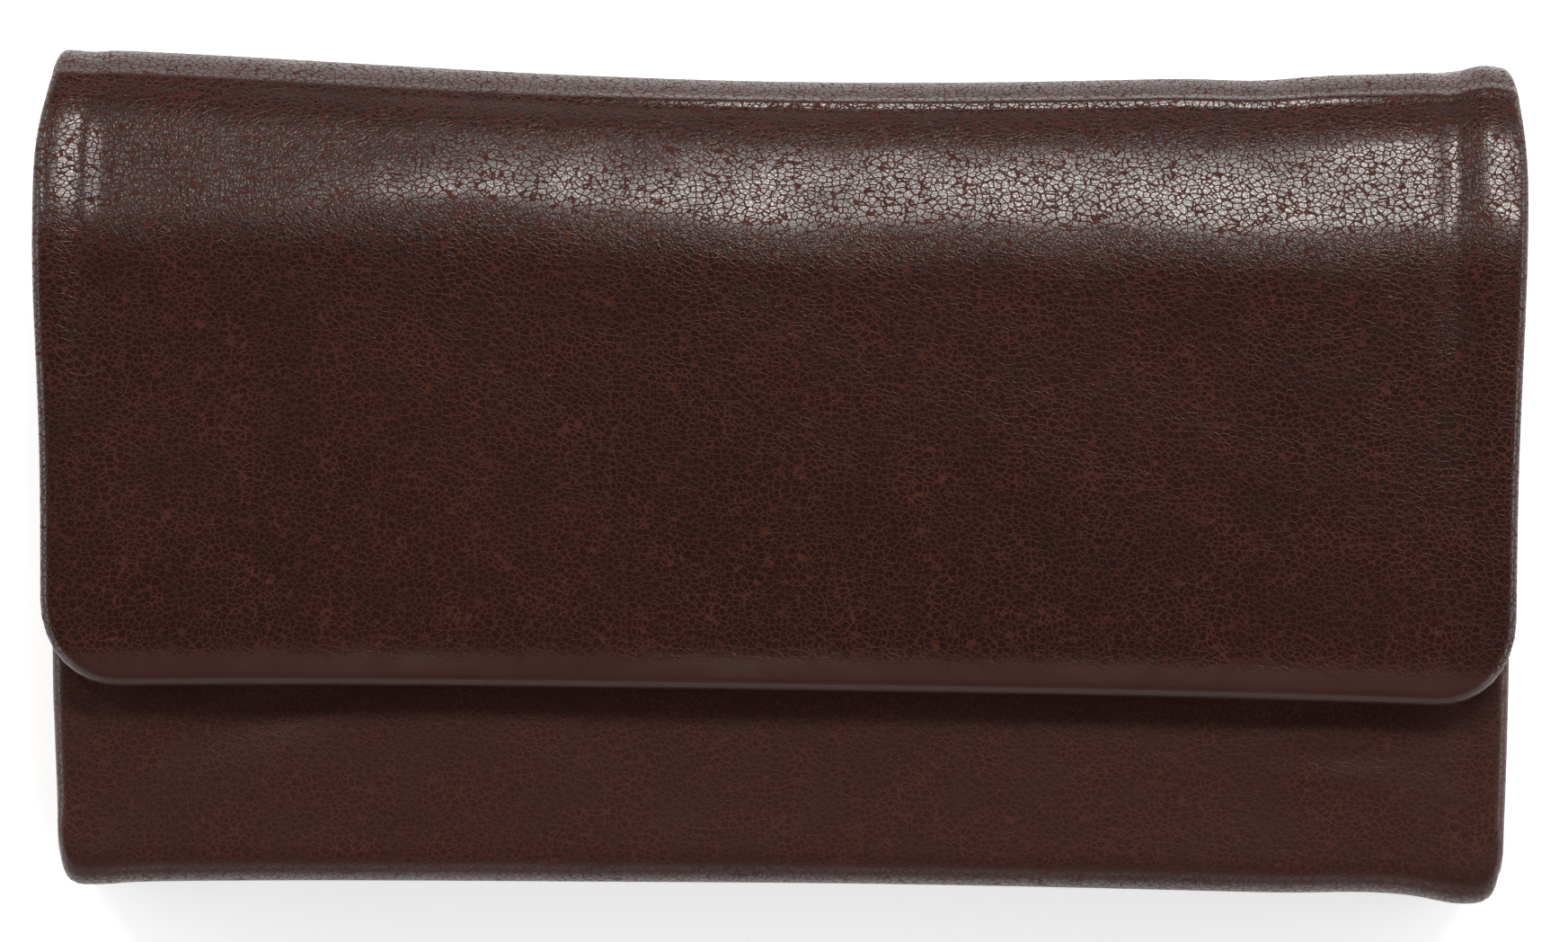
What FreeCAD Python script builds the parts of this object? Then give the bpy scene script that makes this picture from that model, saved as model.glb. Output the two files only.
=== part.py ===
import FreeCAD, Part
import math
import os
import Sketcher

# A long trifold wallet, closed, lying on its back panel.
# X runs along the width, Y from the bottom fold (-Y) to the top fold (+Y), Z through the thickness.
# The origin is on the back panel's outer face, at the middle of the outline. Millimetres.
#
# Back panel, top spine and flap are joined by two folds at the top; back panel, bottom spine
# and front panel by two folds at the bottom. Inside, on the back panel, lie the banknote
# compartment, the zipped coin pocket and the card slots.

doc = FreeCAD.newDocument("TrifoldWallet")

# ---------------------------------------------------------------- driving dimensions
DIMENSIONS = [
    ("width", 185.0, "outer width of back panel, top spine and flap"),
    ("front_width", 181.0, "outer width of front panel and bottom spine"),
    ("height", 103.0, "outer height, bottom fold to top fold"),
    ("thickness", 28.0, "outer thickness of the closed wallet"),
    ("front_level", 22.2, "height of the front panel's outer face"),
    ("flap_length", 78.5, "top fold to the flap's free edge"),
    ("front_length", 56.5, "bottom fold to the front panel's hidden free edge"),
    ("leather", 1.2, "cover leather"),
    ("thin_leather", 0.7, "card slot and pocket leather"),
    ("fabric", 0.5, "lining fabric"),
    ("board", 0.8, "stiffener board"),
    ("flap_padding", 1.1, "foam in the flap"),
    ("front_padding", 1.3, "foam in the front panel"),
    ("fold_radius", 4.0, "outer radius of the tight folds"),
    ("flap_fold_radius", 8.0, "outer radius of the soft fold into the flap"),
    ("flap_corner", 10.0, "radius of the flap's free corners"),
    ("front_corner", 5.0, "radius of the front panel's free corners"),
    ("inset", 4.0, "board and lining stay this far inside the cover's side edges"),
    ("flap_hem", 3.0, "the flap's inner layers end this far inside its turned edge"),
    ("front_hem", 1.5, "the front panel's inner layers end this far inside its turned edge"),
    ("soft_zone", 12.0, "padding and board of the flap end this far short of the soft fold"),
    ("stiff_zone", 2.0, "padding and board of the front panel end this far short of its fold"),
    ("pocket_margin", 4.0, "bare lining below the flap's pockets"),
    ("pocket_drop", 12.0, "bare lining above the flap's pockets"),
    ("front_pocket_drop", 8.0, "bare lining above the front panel's pocket"),
    ("window_border", 7.0, "leather round the clear window"),
    ("film", 0.2, "clear film"),
    ("film_gap", 0.1, "clearance round the film"),
    ("note_gap", 4.3, "height of the banknote compartment"),
    ("note_top", 44.0, "upper edge of the banknote divider"),
    ("divider_inset", 1.0, "the divider ends this far inside the gussets' outer edges"),
    ("gusset_gap", 0.5, "clearance between side gussets and bottom gusset"),
    ("note_bottom", 46.0, "bottom of the compartments, measured down from the middle"),
    ("pocket_wall", 0.6, "coin pocket wall"),
    ("coin_depth", 6.8, "inner depth of the coin pocket"),
    ("coin_top", 30.0, "upper edge of the coin pocket, where the zip lies"),
    ("coin_half_width", 87.0, "half the coin pocket's width"),
    ("pleat", 2.2, "how far the side gussets fold inwards"),
    ("slot_step", 12.0, "step from one card slot edge to the next"),
    ("slot_top", 26.0, "edge of the uppermost card slot"),
    ("column_gap", 0.8, "gap between the two columns of card slots"),
    ("tape_half_gap", 1.8, "half the gap between the zip tapes"),
    ("tape_turn", 8.0, "part of the zip tape sewn inside the pocket wall"),
    ("tooth_pitch", 2.0, "tooth spacing on one side of the zip"),
    ("tooth_width", 0.8, "one tooth along the zip"),
    ("tooth_count", 70, "teeth on one side of the zip"),
    ("tooth_proud", 0.4, "a tooth stands this far out of the tape on each side"),
    ("tooth_reach", 0.6, "a tooth reaches this far past the zip's middle line"),
    ("zip_lead", 3.0, "bare tape before the first tooth"),
    ("stop_length", 1.0, "a stop along the zip"),
    ("stop_height", 0.8, "a stop stands this far out of the tape"),
    ("stop_gap", 0.2, "from a stop to the end tab"),
    ("zip_half_length", 76.0, "half the length of the zip between its end tabs"),
    ("slider_x", 70.0, "middle of the slider when the zip is closed"),
    ("slider_length", 9.0, "length of the slider"),
    ("slider_wing", 0.8, "the slider's wings reach this far over each tape"),
    ("slider_gap", 0.2, "clearance between the slider and tapes, teeth or stops"),
    ("slider_rim", 0.7, "width of the slider's turned-in rims"),
    ("slider_post", 2.0, "thickness of the post that parts the teeth"),
    ("bridge_width", 1.6, "width of the slider's bridge"),
    ("bridge_half_span", 2.2, "half the opening under the bridge"),
    ("pull_length", 13.5, "bar to tip of the pull"),
    ("pull_width", 4.8, "width of the pull"),
    ("pull_sheet", 1.0, "sheet metal of slider, bridge and pull"),
    ("pull_gap", 0.3, "clearance round the pull's bar"),
    ("window_gap", 0.6, "clearance between the bridge and the pull's window"),
    ("pull_hole", 1.0, "radius of the hole near the pull's tip"),
    ("pull_hole_inset", 2.4, "from the tip to the middle of the hole"),
    ("magnet_radius", 7.0, "hidden closing magnets"),
    ("magnet_y", 11.0, "magnets lie this far below the middle"),
    ("stitch_pitch", 4.0, "spacing of the stitches"),
    ("stitch_length", 2.8, "one stitch on the surface"),
    ("thread", 0.4, "thread thickness"),
    ("stitch_margin", 3.0, "a row of stitches starts this far from the edge"),
    ("stitch_inset", 1.5, "a row of stitches runs this far from the edge"),
]

sheet = doc.addObject("Spreadsheet::Sheet", "sizes")
for row, (alias, value, meaning) in enumerate(DIMENSIONS, start=1):
    sheet.set("A%d" % row, alias)
    sheet.set("B%d" % row, str(value))
    sheet.set("C%d" % row, meaning)
    sheet.setAlias("B%d" % row, alias)
doc.recompute()

# ---------------------------------------------------------------- levels, as expressions
HALF = "(sizes.width / 2)"
FRONT_HALF = "(sizes.front_width / 2)"
TOP = "(sizes.height / 2)"
BOTTOM = "(0 - sizes.height / 2)"
TOP_INNER = "(sizes.height / 2 - sizes.leather)"
BOTTOM_INNER = "(sizes.leather - sizes.height / 2)"
BACK_TOP = "(sizes.height / 2 - sizes.fold_radius)"
BACK_BOTTOM = "(sizes.fold_radius - sizes.height / 2)"

BOARD_LOW = "sizes.leather"
LINING_LOW = "(sizes.leather + sizes.board)"
NOTE_LOW = "(sizes.leather + sizes.board + sizes.fabric)"
DIVIDER_LOW = "(%s + sizes.note_gap)" % NOTE_LOW
COIN_REAR_LOW = "(%s + sizes.fabric)" % DIVIDER_LOW
COIN_LOW = "(%s + sizes.pocket_wall)" % COIN_REAR_LOW
COIN_HIGH = "(%s + sizes.coin_depth)" % COIN_LOW
SLOTS_LOW = "(%s + sizes.pocket_wall)" % COIN_HIGH
ZIP_MIDDLE = "(%s + sizes.coin_depth / 2)" % COIN_LOW

FLAP_EDGE = "(sizes.height / 2 - sizes.flap_length)"
FLAP_START = "(sizes.height / 2 - sizes.flap_fold_radius)"
FLAP_LEATHER_LOW = "(sizes.thickness - sizes.leather)"
FLAP_PADDING_LOW = "(%s - sizes.flap_padding)" % FLAP_LEATHER_LOW
FLAP_BOARD_LOW = "(%s - sizes.board)" % FLAP_PADDING_LOW
FLAP_LINING_LOW = "(%s - sizes.fabric)" % FLAP_BOARD_LOW
FLAP_POCKET_LOW = "(%s - sizes.thin_leather)" % FLAP_LINING_LOW

FRONT_EDGE = "(sizes.front_length - sizes.height / 2)"
FRONT_LEATHER_LOW = "(sizes.front_level - sizes.leather)"
FRONT_PADDING_LOW = "(%s - sizes.front_padding)" % FRONT_LEATHER_LOW
FRONT_BOARD_LOW = "(%s - sizes.board)" % FRONT_PADDING_LOW
FRONT_LINING_LOW = "(%s - sizes.fabric)" % FRONT_BOARD_LOW
FRONT_POCKET_LOW = "(%s - sizes.thin_leather)" % FRONT_LINING_LOW

POCKET_BOTTOM = "(0 - sizes.note_bottom)"
MAGNET_Y = "(0 - sizes.magnet_y)"

parts = []


def value(expression):
    return float(sheet.evalExpression(str(expression)))


def negative(expression):
    return "(0 - %s)" % expression


def new_body(label):
    body = doc.addObject("PartDesign::Body", label)
    body.Label = label
    body.AllowCompound = True
    parts.append(body)
    return body


def origin_feature(body, role):
    for feature in body.Origin.OriginFeatures:
        if feature.Role == role:
            return feature


def new_sketch(body, name, role, offset):
    # offset moves the sketch along its own normal
    sketch = body.newObject("Sketcher::SketchObject", name)
    sketch.AttachmentSupport = [(origin_feature(body, role), "")]
    sketch.MapMode = "FlatFace"
    sketch.setExpression("AttachmentOffset.Base.z", str(offset))
    return sketch


def pin_point(sketch, line, corner):
    # holds a line's first point at a corner given as two expressions
    for kind, expression in zip(("DistanceX", "DistanceY"), corner):
        constraint = Sketcher.Constraint(kind, -1, 1, line, 1, value(expression))
        index = sketch.addConstraint(constraint)
        sketch.setExpression("Constraints[%d]" % index, str(expression))


def add_outline(sketch, corners):
    # closed outline of straight lines; each corner is a pair of expressions
    points = [FreeCAD.Vector(value(x), value(y), 0) for x, y in corners]
    lines = []
    for start, end in zip(points, points[1:] + points[:1]):
        lines.append(sketch.addGeometry(Part.LineSegment(start, end)))
    for line, following in zip(lines, lines[1:] + lines[:1]):
        sketch.addConstraint(Sketcher.Constraint("Coincident", line, 2, following, 1))
    for line, corner in zip(lines, corners):
        pin_point(sketch, line, corner)


def add_circle(sketch, centre, radius):
    middle = FreeCAD.Vector(value(centre[0]), value(centre[1]), 0)
    circle = Part.Circle(middle, FreeCAD.Vector(0, 0, 1), value(radius))
    line = sketch.addGeometry(circle)
    for kind, expression in zip(("DistanceX", "DistanceY"), centre):
        constraint = Sketcher.Constraint(kind, -1, 1, line, 3, value(expression))
        index = sketch.addConstraint(constraint)
        sketch.setExpression("Constraints[%d]" % index, str(expression))
    index = sketch.addConstraint(Sketcher.Constraint("Radius", line, value(radius)))
    sketch.setExpression("Constraints[%d]" % index, str(radius))


def rectangle(left, right, low, high):
    return [(left, low), (right, low), (right, high), (left, high)]


def add_pad(body, sketch, length):
    pad = body.newObject("PartDesign::Pad", sketch.Name + "_pad")
    pad.Profile = sketch
    pad.setExpression("Length", str(length))
    doc.recompute()
    return pad


def add_pocket(body, sketch, length, reversed_direction):
    volume_before = body.Shape.Volume
    pocket = body.newObject("PartDesign::Pocket", sketch.Name + "_pocket")
    pocket.Profile = sketch
    pocket.Reversed = reversed_direction
    pocket.setExpression("Length", str(length))
    doc.recompute()
    if body.Shape.Volume >= volume_before:
        raise RuntimeError(pocket.Name + " cuts nothing")
    return pocket


def round_upright_edges(body, radius, wanted):
    # fillets the edges that run along Z at the corners where wanted(x, y) is true
    names = []
    for index, edge in enumerate(body.Shape.Edges, start=1):
        start = edge.Vertexes[0].Point
        end = edge.Vertexes[-1].Point
        upright = abs(start.x - end.x) < 0.001 and abs(start.y - end.y) < 0.001
        if upright and wanted(start.x, start.y):
            names.append("Edge%d" % index)
    rounded = body.Tip
    fillet = body.newObject("PartDesign::Fillet", body.Name + "_corners")
    fillet.Base = (rounded, names)
    fillet.setExpression("Radius", str(radius))
    doc.recompute()


def sheet_of(label, left, right, low, high, level, thickness):
    # flat rectangular layer parallel to the table
    body = new_body(label)
    sketch = new_sketch(body, label + "_outline", "XY_Plane", level)
    add_outline(sketch, rectangle(left, right, low, high))
    add_pad(body, sketch, thickness)
    return body


def bar_along_x(label, left, length, corners):
    # constant section in the YZ plane, run along X from left
    body = new_body(label)
    sketch = new_sketch(body, label + "_section", "YZ_Plane", left)
    add_outline(sketch, corners)
    add_pad(body, sketch, length)
    return body


def bar_along_y(label, low, length, corners):
    # constant section in the XZ plane, run along Y from low
    body = new_body(label)
    sketch = new_sketch(body, label + "_section", "XZ_Plane", negative("(%s + %s)" % (low, length)))
    add_outline(sketch, corners)
    add_pad(body, sketch, length)
    return body


def repeat_along_x(body, label, feature, spacing, count):
    row = body.newObject("PartDesign::LinearPattern", label + "_row")
    row.Originals = [feature]
    row.Direction = (origin_feature(body, "X_Axis"), [""])
    row.Mode = "Spacing"
    row.setExpression("Offset", spacing)
    row.setExpression("Occurrences", count)
    body.Tip = row
    doc.recompute()


# ---------------------------------------------------------------- folds

def quarter_sleeve(label, width, centre_y, centre_z, radius, start, end):
    # leather bent through a quarter circle about an X axis, from direction start to end
    pieces = []
    for suffix, expression in (("outside", radius), ("inside", radius + " - sizes.leather")):
        cylinder = doc.addObject("Part::Cylinder", label + "_" + suffix)
        turn = FreeCAD.Rotation(start, end, FreeCAD.Vector(1, 0, 0), "ZXY")
        cylinder.Placement = FreeCAD.Placement(FreeCAD.Vector(), turn)
        cylinder.Angle = 90
        cylinder.setExpression("Radius", expression)
        cylinder.setExpression("Height", width)
        cylinder.setExpression("Placement.Base.x", "0 - %s / 2" % width)
        cylinder.setExpression("Placement.Base.y", centre_y)
        cylinder.setExpression("Placement.Base.z", centre_z)
        pieces.append(cylinder)
    sleeve = doc.addObject("Part::Cut", label)
    sleeve.Label = label
    sleeve.Base = pieces[0]
    sleeve.Tool = pieces[1]
    parts.append(sleeve)


UP = FreeCAD.Vector(0, 0, 1)
DOWN = FreeCAD.Vector(0, 0, -1)
TOWARDS_TOP = FreeCAD.Vector(0, 1, 0)
TOWARDS_BOTTOM = FreeCAD.Vector(0, -1, 0)


def make_folds():
    flap_centre_z = "sizes.thickness - sizes.flap_fold_radius"
    front_centre_z = "sizes.front_level - sizes.fold_radius"
    quarter_sleeve("top_back_fold", "sizes.width", BACK_TOP, "sizes.fold_radius",
                   "sizes.fold_radius", DOWN, TOWARDS_TOP)
    quarter_sleeve("top_flap_fold", "sizes.width", FLAP_START, flap_centre_z,
                   "sizes.flap_fold_radius", TOWARDS_TOP, UP)
    quarter_sleeve("bottom_front_fold", "sizes.front_width", BACK_BOTTOM, front_centre_z,
                   "sizes.fold_radius", UP, TOWARDS_BOTTOM)
    quarter_sleeve("bottom_back_fold", "sizes.front_width", BACK_BOTTOM, "sizes.fold_radius",
                   "sizes.fold_radius", TOWARDS_BOTTOM, DOWN)


def make_spines():
    low = "sizes.fold_radius"
    top_high = "(sizes.thickness - sizes.flap_fold_radius)"
    bottom_high = "(sizes.front_level - sizes.fold_radius)"
    top_lining = "(%s - sizes.fabric)" % TOP_INNER
    bottom_lining = "(%s + sizes.fabric)" % BOTTOM_INNER
    left = negative(HALF)
    front_left = negative(FRONT_HALF)
    lining_width = "sizes.width - 2 * sizes.inset"
    front_lining_width = "sizes.front_width - 2 * sizes.inset"
    bar_along_x("top_spine_cover", left, "sizes.width",
                rectangle(TOP_INNER, TOP, low, top_high))
    bar_along_x("top_spine_lining", "%s + sizes.inset" % left, lining_width,
                rectangle(top_lining, TOP_INNER, low, top_high))
    bar_along_x("bottom_spine_cover", front_left, "sizes.front_width",
                rectangle(BOTTOM, BOTTOM_INNER, low, bottom_high))
    bar_along_x("bottom_spine_lining", "%s + sizes.inset" % front_left, front_lining_width,
                rectangle(BOTTOM_INNER, bottom_lining, low, bottom_high))


# ---------------------------------------------------------------- back panel

def make_back_panel():
    left = negative(HALF)
    inner = "(%s - sizes.inset)" % HALF
    sheet_of("back_cover", left, HALF, BACK_BOTTOM, BACK_TOP, 0, "sizes.leather")
    board_low = "(%s + sizes.inset)" % BACK_BOTTOM
    board_high = "(%s - sizes.inset)" % BACK_TOP
    sheet_of("back_board", negative(inner), inner, board_low, board_high,
             BOARD_LOW, "sizes.board")
    sheet_of("back_lining", negative(inner), inner, BACK_BOTTOM, BACK_TOP,
             LINING_LOW, "sizes.fabric")


def pleat_section(outer, sign, low, high, cloth):
    # a strip of cloth folded once, its crease pointing into the compartment
    middle = "((%s + %s) / 2)" % (low, high)
    crease = "(%s - sizes.pleat)" % outer
    corners = [
        (outer, low),
        (outer, "(%s + %s)" % (low, cloth)),
        ("(%s + %s)" % (crease, cloth), middle),
        (outer, "(%s - %s)" % (high, cloth)),
        (outer, high),
        ("(%s - %s)" % (outer, cloth), high),
        (crease, middle),
        ("(%s - %s)" % (outer, cloth), low),
    ]
    if sign < 0:
        return [(negative(x), z) for x, z in corners]
    return corners


def make_banknote_compartment():
    outer = "(%s - sizes.inset)" % HALF
    half = "(%s - sizes.inset - sizes.divider_inset)" % HALF
    sheet_of("note_divider", negative(half), half, POCKET_BOTTOM, "sizes.note_top",
             DIVIDER_LOW, "sizes.fabric")
    length = "(sizes.note_top + sizes.note_bottom)"
    for side, sign in (("left", -1), ("right", 1)):
        corners = pleat_section(outer, sign, NOTE_LOW, DIVIDER_LOW, "sizes.fabric")
        bar_along_y("note_gusset_" + side, POCKET_BOTTOM, length, corners)
    inner_width = "(2 * (%s - sizes.pleat - sizes.gusset_gap))" % outer
    bar_along_x("note_gusset_bottom", "(0 - %s / 2)" % inner_width, inner_width,
                rectangle("(%s - sizes.fabric)" % POCKET_BOTTOM, POCKET_BOTTOM,
                          NOTE_LOW, DIVIDER_LOW))


# ---------------------------------------------------------------- coin pocket and its zip

def make_coin_pocket():
    half = "sizes.coin_half_width"
    for label, level in (("coin_pocket_rear_wall", COIN_REAR_LOW),
                         ("coin_pocket_front_wall", COIN_HIGH)):
        sheet_of(label, negative(half), half, POCKET_BOTTOM, "sizes.coin_top",
                 level, "sizes.pocket_wall")
    length = "(sizes.coin_top + sizes.note_bottom)"
    for side, sign in (("left", -1), ("right", 1)):
        corners = pleat_section(half, sign, COIN_LOW, COIN_HIGH, "sizes.fabric")
        bar_along_y("coin_gusset_" + side, POCKET_BOTTOM, length, corners)
    inner_width = "(2 * (%s - sizes.pleat - sizes.gusset_gap))" % half
    bar_along_x("coin_gusset_bottom", "(0 - %s / 2)" % inner_width, inner_width,
                rectangle(POCKET_BOTTOM, "(%s + sizes.fabric)" % POCKET_BOTTOM,
                          COIN_LOW, COIN_HIGH))


def make_zip_tapes():
    # each tape lies across the mouth and turns down inside its pocket wall
    left = "(0 - sizes.zip_half_length)"
    length = "(2 * sizes.zip_half_length)"
    top = "(sizes.coin_top + sizes.fabric)"
    turn = "(sizes.coin_top - sizes.tape_turn)"
    for label, outer, wall, sign in (
        ("zip_tape_rear", COIN_REAR_LOW, COIN_LOW, "+"),
        ("zip_tape_front", SLOTS_LOW, COIN_HIGH, "-"),
    ):
        opposite = "-" if sign == "+" else "+"
        edge = "(%s %s sizes.tape_half_gap)" % (ZIP_MIDDLE, opposite)
        inside = "(%s %s sizes.fabric)" % (wall, sign)
        bar_along_x(label, left, length, [
            (top, outer),
            (top, edge),
            ("sizes.coin_top", edge),
            ("sizes.coin_top", inside),
            (turn, inside),
            (turn, wall),
            ("sizes.coin_top", wall),
            ("sizes.coin_top", outer),
        ])


def make_zip_teeth():
    # teeth of the two rows take turns along the zip and reach past the middle line
    first = "(sizes.zip_lead - sizes.zip_half_length)"
    high = "(sizes.coin_top + sizes.fabric + sizes.tooth_proud)"
    tooth_height = "(sizes.fabric + 2 * sizes.tooth_proud)"
    for label, sign, shift in (("zip_teeth_rear", "-", "0"),
                               ("zip_teeth_front", "+", "sizes.tooth_pitch / 2")):
        opposite = "-" if sign == "+" else "+"
        body = new_body(label)
        sketch = new_sketch(body, label + "_tooth", "XZ_Plane", negative(high))
        left = "(%s + %s)" % (first, shift)
        right = "(%s + sizes.tooth_width)" % left
        root = "(%s %s (sizes.tape_half_gap - 0.05))" % (ZIP_MIDDLE, sign)
        tip = "(%s %s sizes.tooth_reach)" % (ZIP_MIDDLE, opposite)
        add_outline(sketch, rectangle(left, right, root, tip))
        pad = add_pad(body, sketch, tooth_height)
        repeat_along_x(body, label, pad, "sizes.tooth_pitch", "sizes.tooth_count")


def make_zip_ends():
    # metal stops at both ends of the teeth, then leather tabs that close the mouth
    low = "(sizes.coin_top + sizes.fabric)"
    high = "(%s + sizes.stop_height)" % low
    stop_low = "(%s - sizes.tape_half_gap - sizes.slider_wing)" % ZIP_MIDDLE
    stop_high = "(%s + sizes.tape_half_gap + sizes.slider_wing)" % ZIP_MIDDLE
    for label, left in (
        ("zip_bottom_stop", "(sizes.stop_gap - sizes.zip_half_length)"),
        ("zip_top_stop", "(sizes.zip_half_length - sizes.stop_gap - sizes.stop_length)"),
    ):
        bar_along_x(label, left, "sizes.stop_length", rectangle(low, high, stop_low, stop_high))
    tab_length = "(sizes.coin_half_width - sizes.zip_half_length)"
    for label, left in (
        ("zip_end_tab_left", "(0 - sizes.coin_half_width)"),
        ("zip_end_tab_right", "sizes.zip_half_length"),
    ):
        bar_along_x(label, left, tab_length,
                    rectangle("sizes.coin_top", "(sizes.coin_top + sizes.thin_leather)",
                              COIN_REAR_LOW, SLOTS_LOW))


WING_LOW = "(sizes.coin_top + sizes.fabric + sizes.tooth_proud + sizes.slider_gap)"
WING_TOP = "(%s + sizes.pull_sheet)" % WING_LOW
BAR_Y = "(%s + sizes.pull_gap + sizes.pull_sheet / 2)" % WING_TOP


def make_zip_slider():
    # two wings, one each side of the tape, joined by a post at the leading end,
    # with turned-in rims and an arched bridge for the pull
    body = new_body("zip_slider")
    left = "(sizes.slider_x - sizes.slider_length / 2)"
    half_wing = "(sizes.tape_half_gap + sizes.slider_wing)"
    low = "(%s - %s)" % (ZIP_MIDDLE, half_wing)
    high = "(%s + %s)" % (ZIP_MIDDLE, half_wing)
    lower_high = "(sizes.coin_top - sizes.tooth_proud - sizes.slider_gap)"
    lower_low = "(%s - sizes.pull_sheet)" % lower_high

    def slider_bar(name, start, length, y_low, y_high, z_low, z_high):
        sketch = new_sketch(body, name, "YZ_Plane", start)
        add_outline(sketch, rectangle(y_low, y_high, z_low, z_high))
        add_pad(body, sketch, length)

    post_left = "(sizes.slider_x + sizes.slider_length / 2 - 1.2 * sizes.slider_post)"
    slider_bar("post", post_left, "sizes.slider_post", lower_low, WING_TOP,
               "(%s - sizes.slider_post / 2)" % ZIP_MIDDLE,
               "(%s + sizes.slider_post / 2)" % ZIP_MIDDLE)
    slider_bar("upper_wing", left, "sizes.slider_length", WING_LOW, WING_TOP, low, high)
    slider_bar("lower_wing", left, "sizes.slider_length", lower_low, lower_high, low, high)
    for name, y_low, y_high in (
        ("upper_rim", "(sizes.coin_top + sizes.fabric + sizes.slider_gap)", WING_LOW),
        ("lower_rim", lower_high, "(sizes.coin_top - sizes.slider_gap)"),
    ):
        slider_bar(name + "_rear", left, "sizes.slider_length", y_low, y_high,
                   low, "(%s + sizes.slider_rim)" % low)
        slider_bar(name + "_front", left, "sizes.slider_length", y_low, y_high,
                   "(%s - sizes.slider_rim)" % high, high)
    sketch = new_sketch(body, "bridge", "XY_Plane", "(%s - sizes.bridge_width / 2)" % ZIP_MIDDLE)
    arch_high = "(%s + sizes.pull_sheet / 2 + sizes.pull_gap)" % BAR_Y
    bridge_high = "(%s + sizes.pull_sheet)" % arch_high
    shoulder = "(%s - sizes.pull_sheet)" % bridge_high
    foot = "(%s - sizes.slider_gap)" % WING_TOP
    inner_left = "(sizes.slider_x - sizes.bridge_half_span)"
    inner_right = "(sizes.slider_x + sizes.bridge_half_span)"
    outer_left = "(%s - sizes.pull_sheet)" % inner_left
    outer_right = "(%s + sizes.pull_sheet)" % inner_right
    add_outline(sketch, [
        (outer_left, foot),
        (inner_left, foot),
        (inner_left, arch_high),
        (inner_right, arch_high),
        (inner_right, foot),
        (outer_right, foot),
        (outer_right, shoulder),
        (inner_right, bridge_high),
        (inner_left, bridge_high),
        (outer_left, shoulder),
    ])
    add_pad(body, sketch, "sizes.bridge_width")


def make_zip_pull():
    # a flat tab with a window at its inner end; the round bar that closes the window
    # passes under the slider's bridge and is the pull's hinge pin
    tip = "(sizes.slider_x - sizes.pull_length)"
    half = "(sizes.pull_width / 2)"
    window = "(sizes.bridge_width / 2 + sizes.window_gap)"
    reach = "(sizes.bridge_half_span + 2.7 * sizes.pull_sheet)"
    low = negative("(%s + sizes.pull_sheet / 2)" % BAR_Y)

    plate = doc.addObject("PartDesign::Body", "pull_plate")
    plate.AllowCompound = True
    sketch = new_sketch(plate, "pull_outline", "XZ_Plane", low)
    add_outline(sketch, rectangle(tip, "sizes.slider_x", "(%s - %s)" % (ZIP_MIDDLE, half),
                                  "(%s + %s)" % (ZIP_MIDDLE, half)))
    add_pad(plate, sketch, "sizes.pull_sheet")
    sketch = new_sketch(plate, "pull_window", "XZ_Plane", low)
    add_outline(sketch, rectangle("(sizes.slider_x - %s)" % reach, "(sizes.slider_x + 1)",
                                  "(%s - %s)" % (ZIP_MIDDLE, window),
                                  "(%s + %s)" % (ZIP_MIDDLE, window)))
    add_pocket(plate, sketch, "sizes.pull_sheet", True)
    sketch = new_sketch(plate, "pull_hole", "XZ_Plane", low)
    add_circle(sketch, ("(%s + sizes.pull_hole_inset)" % tip, ZIP_MIDDLE), "sizes.pull_hole")
    add_pocket(plate, sketch, "sizes.pull_sheet", True)
    edges = []
    for index, edge in enumerate(plate.Shape.Edges, start=1):
        start = edge.Vertexes[0].Point
        end = edge.Vertexes[-1].Point
        across = abs(start.x - end.x) < 0.001 and abs(start.z - end.z) < 0.001
        if across and abs(start.x - value(tip)) < 0.001:
            edges.append("Edge%d" % index)
    punched = plate.Tip
    fillet = plate.newObject("PartDesign::Fillet", "pull_tip")
    fillet.Base = (punched, edges)
    fillet.setExpression("Radius", "sizes.pull_width * 0.4")

    bar = doc.addObject("Part::Cylinder", "pull_bar")
    bar.setExpression("Radius", "sizes.pull_sheet / 2")
    bar.setExpression("Height", "sizes.pull_width")
    bar.setExpression("Placement.Base.x", "sizes.slider_x")
    bar.setExpression("Placement.Base.y", BAR_Y)
    bar.setExpression("Placement.Base.z", "%s - %s" % (ZIP_MIDDLE, half))
    pull = doc.addObject("Part::Fuse", "zip_pull_tab")
    pull.Label = "zip_pull_tab"
    pull.Base = plate
    pull.Tool = bar
    parts.append(pull)


# ---------------------------------------------------------------- card slots

SLOT_LEVELS = 3


def make_card_slots():
    # three stepped leather leaves in each of two columns, on the coin pocket's front
    for level in range(SLOT_LEVELS):
        height = "(%s + %d * sizes.thin_leather)" % (SLOTS_LOW, level)
        top = "(sizes.slot_top - %d * sizes.slot_step)" % level
        for side, left, right in (
            ("left", "(0 - sizes.coin_half_width)", "(0 - sizes.column_gap / 2)"),
            ("right", "(sizes.column_gap / 2)", "sizes.coin_half_width"),
        ):
            label = "card_slot_%s_%d" % (side, level + 1)
            sheet_of(label, left, right, POCKET_BOTTOM, top, height, "sizes.thin_leather")


# ---------------------------------------------------------------- flap and front panel

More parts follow.
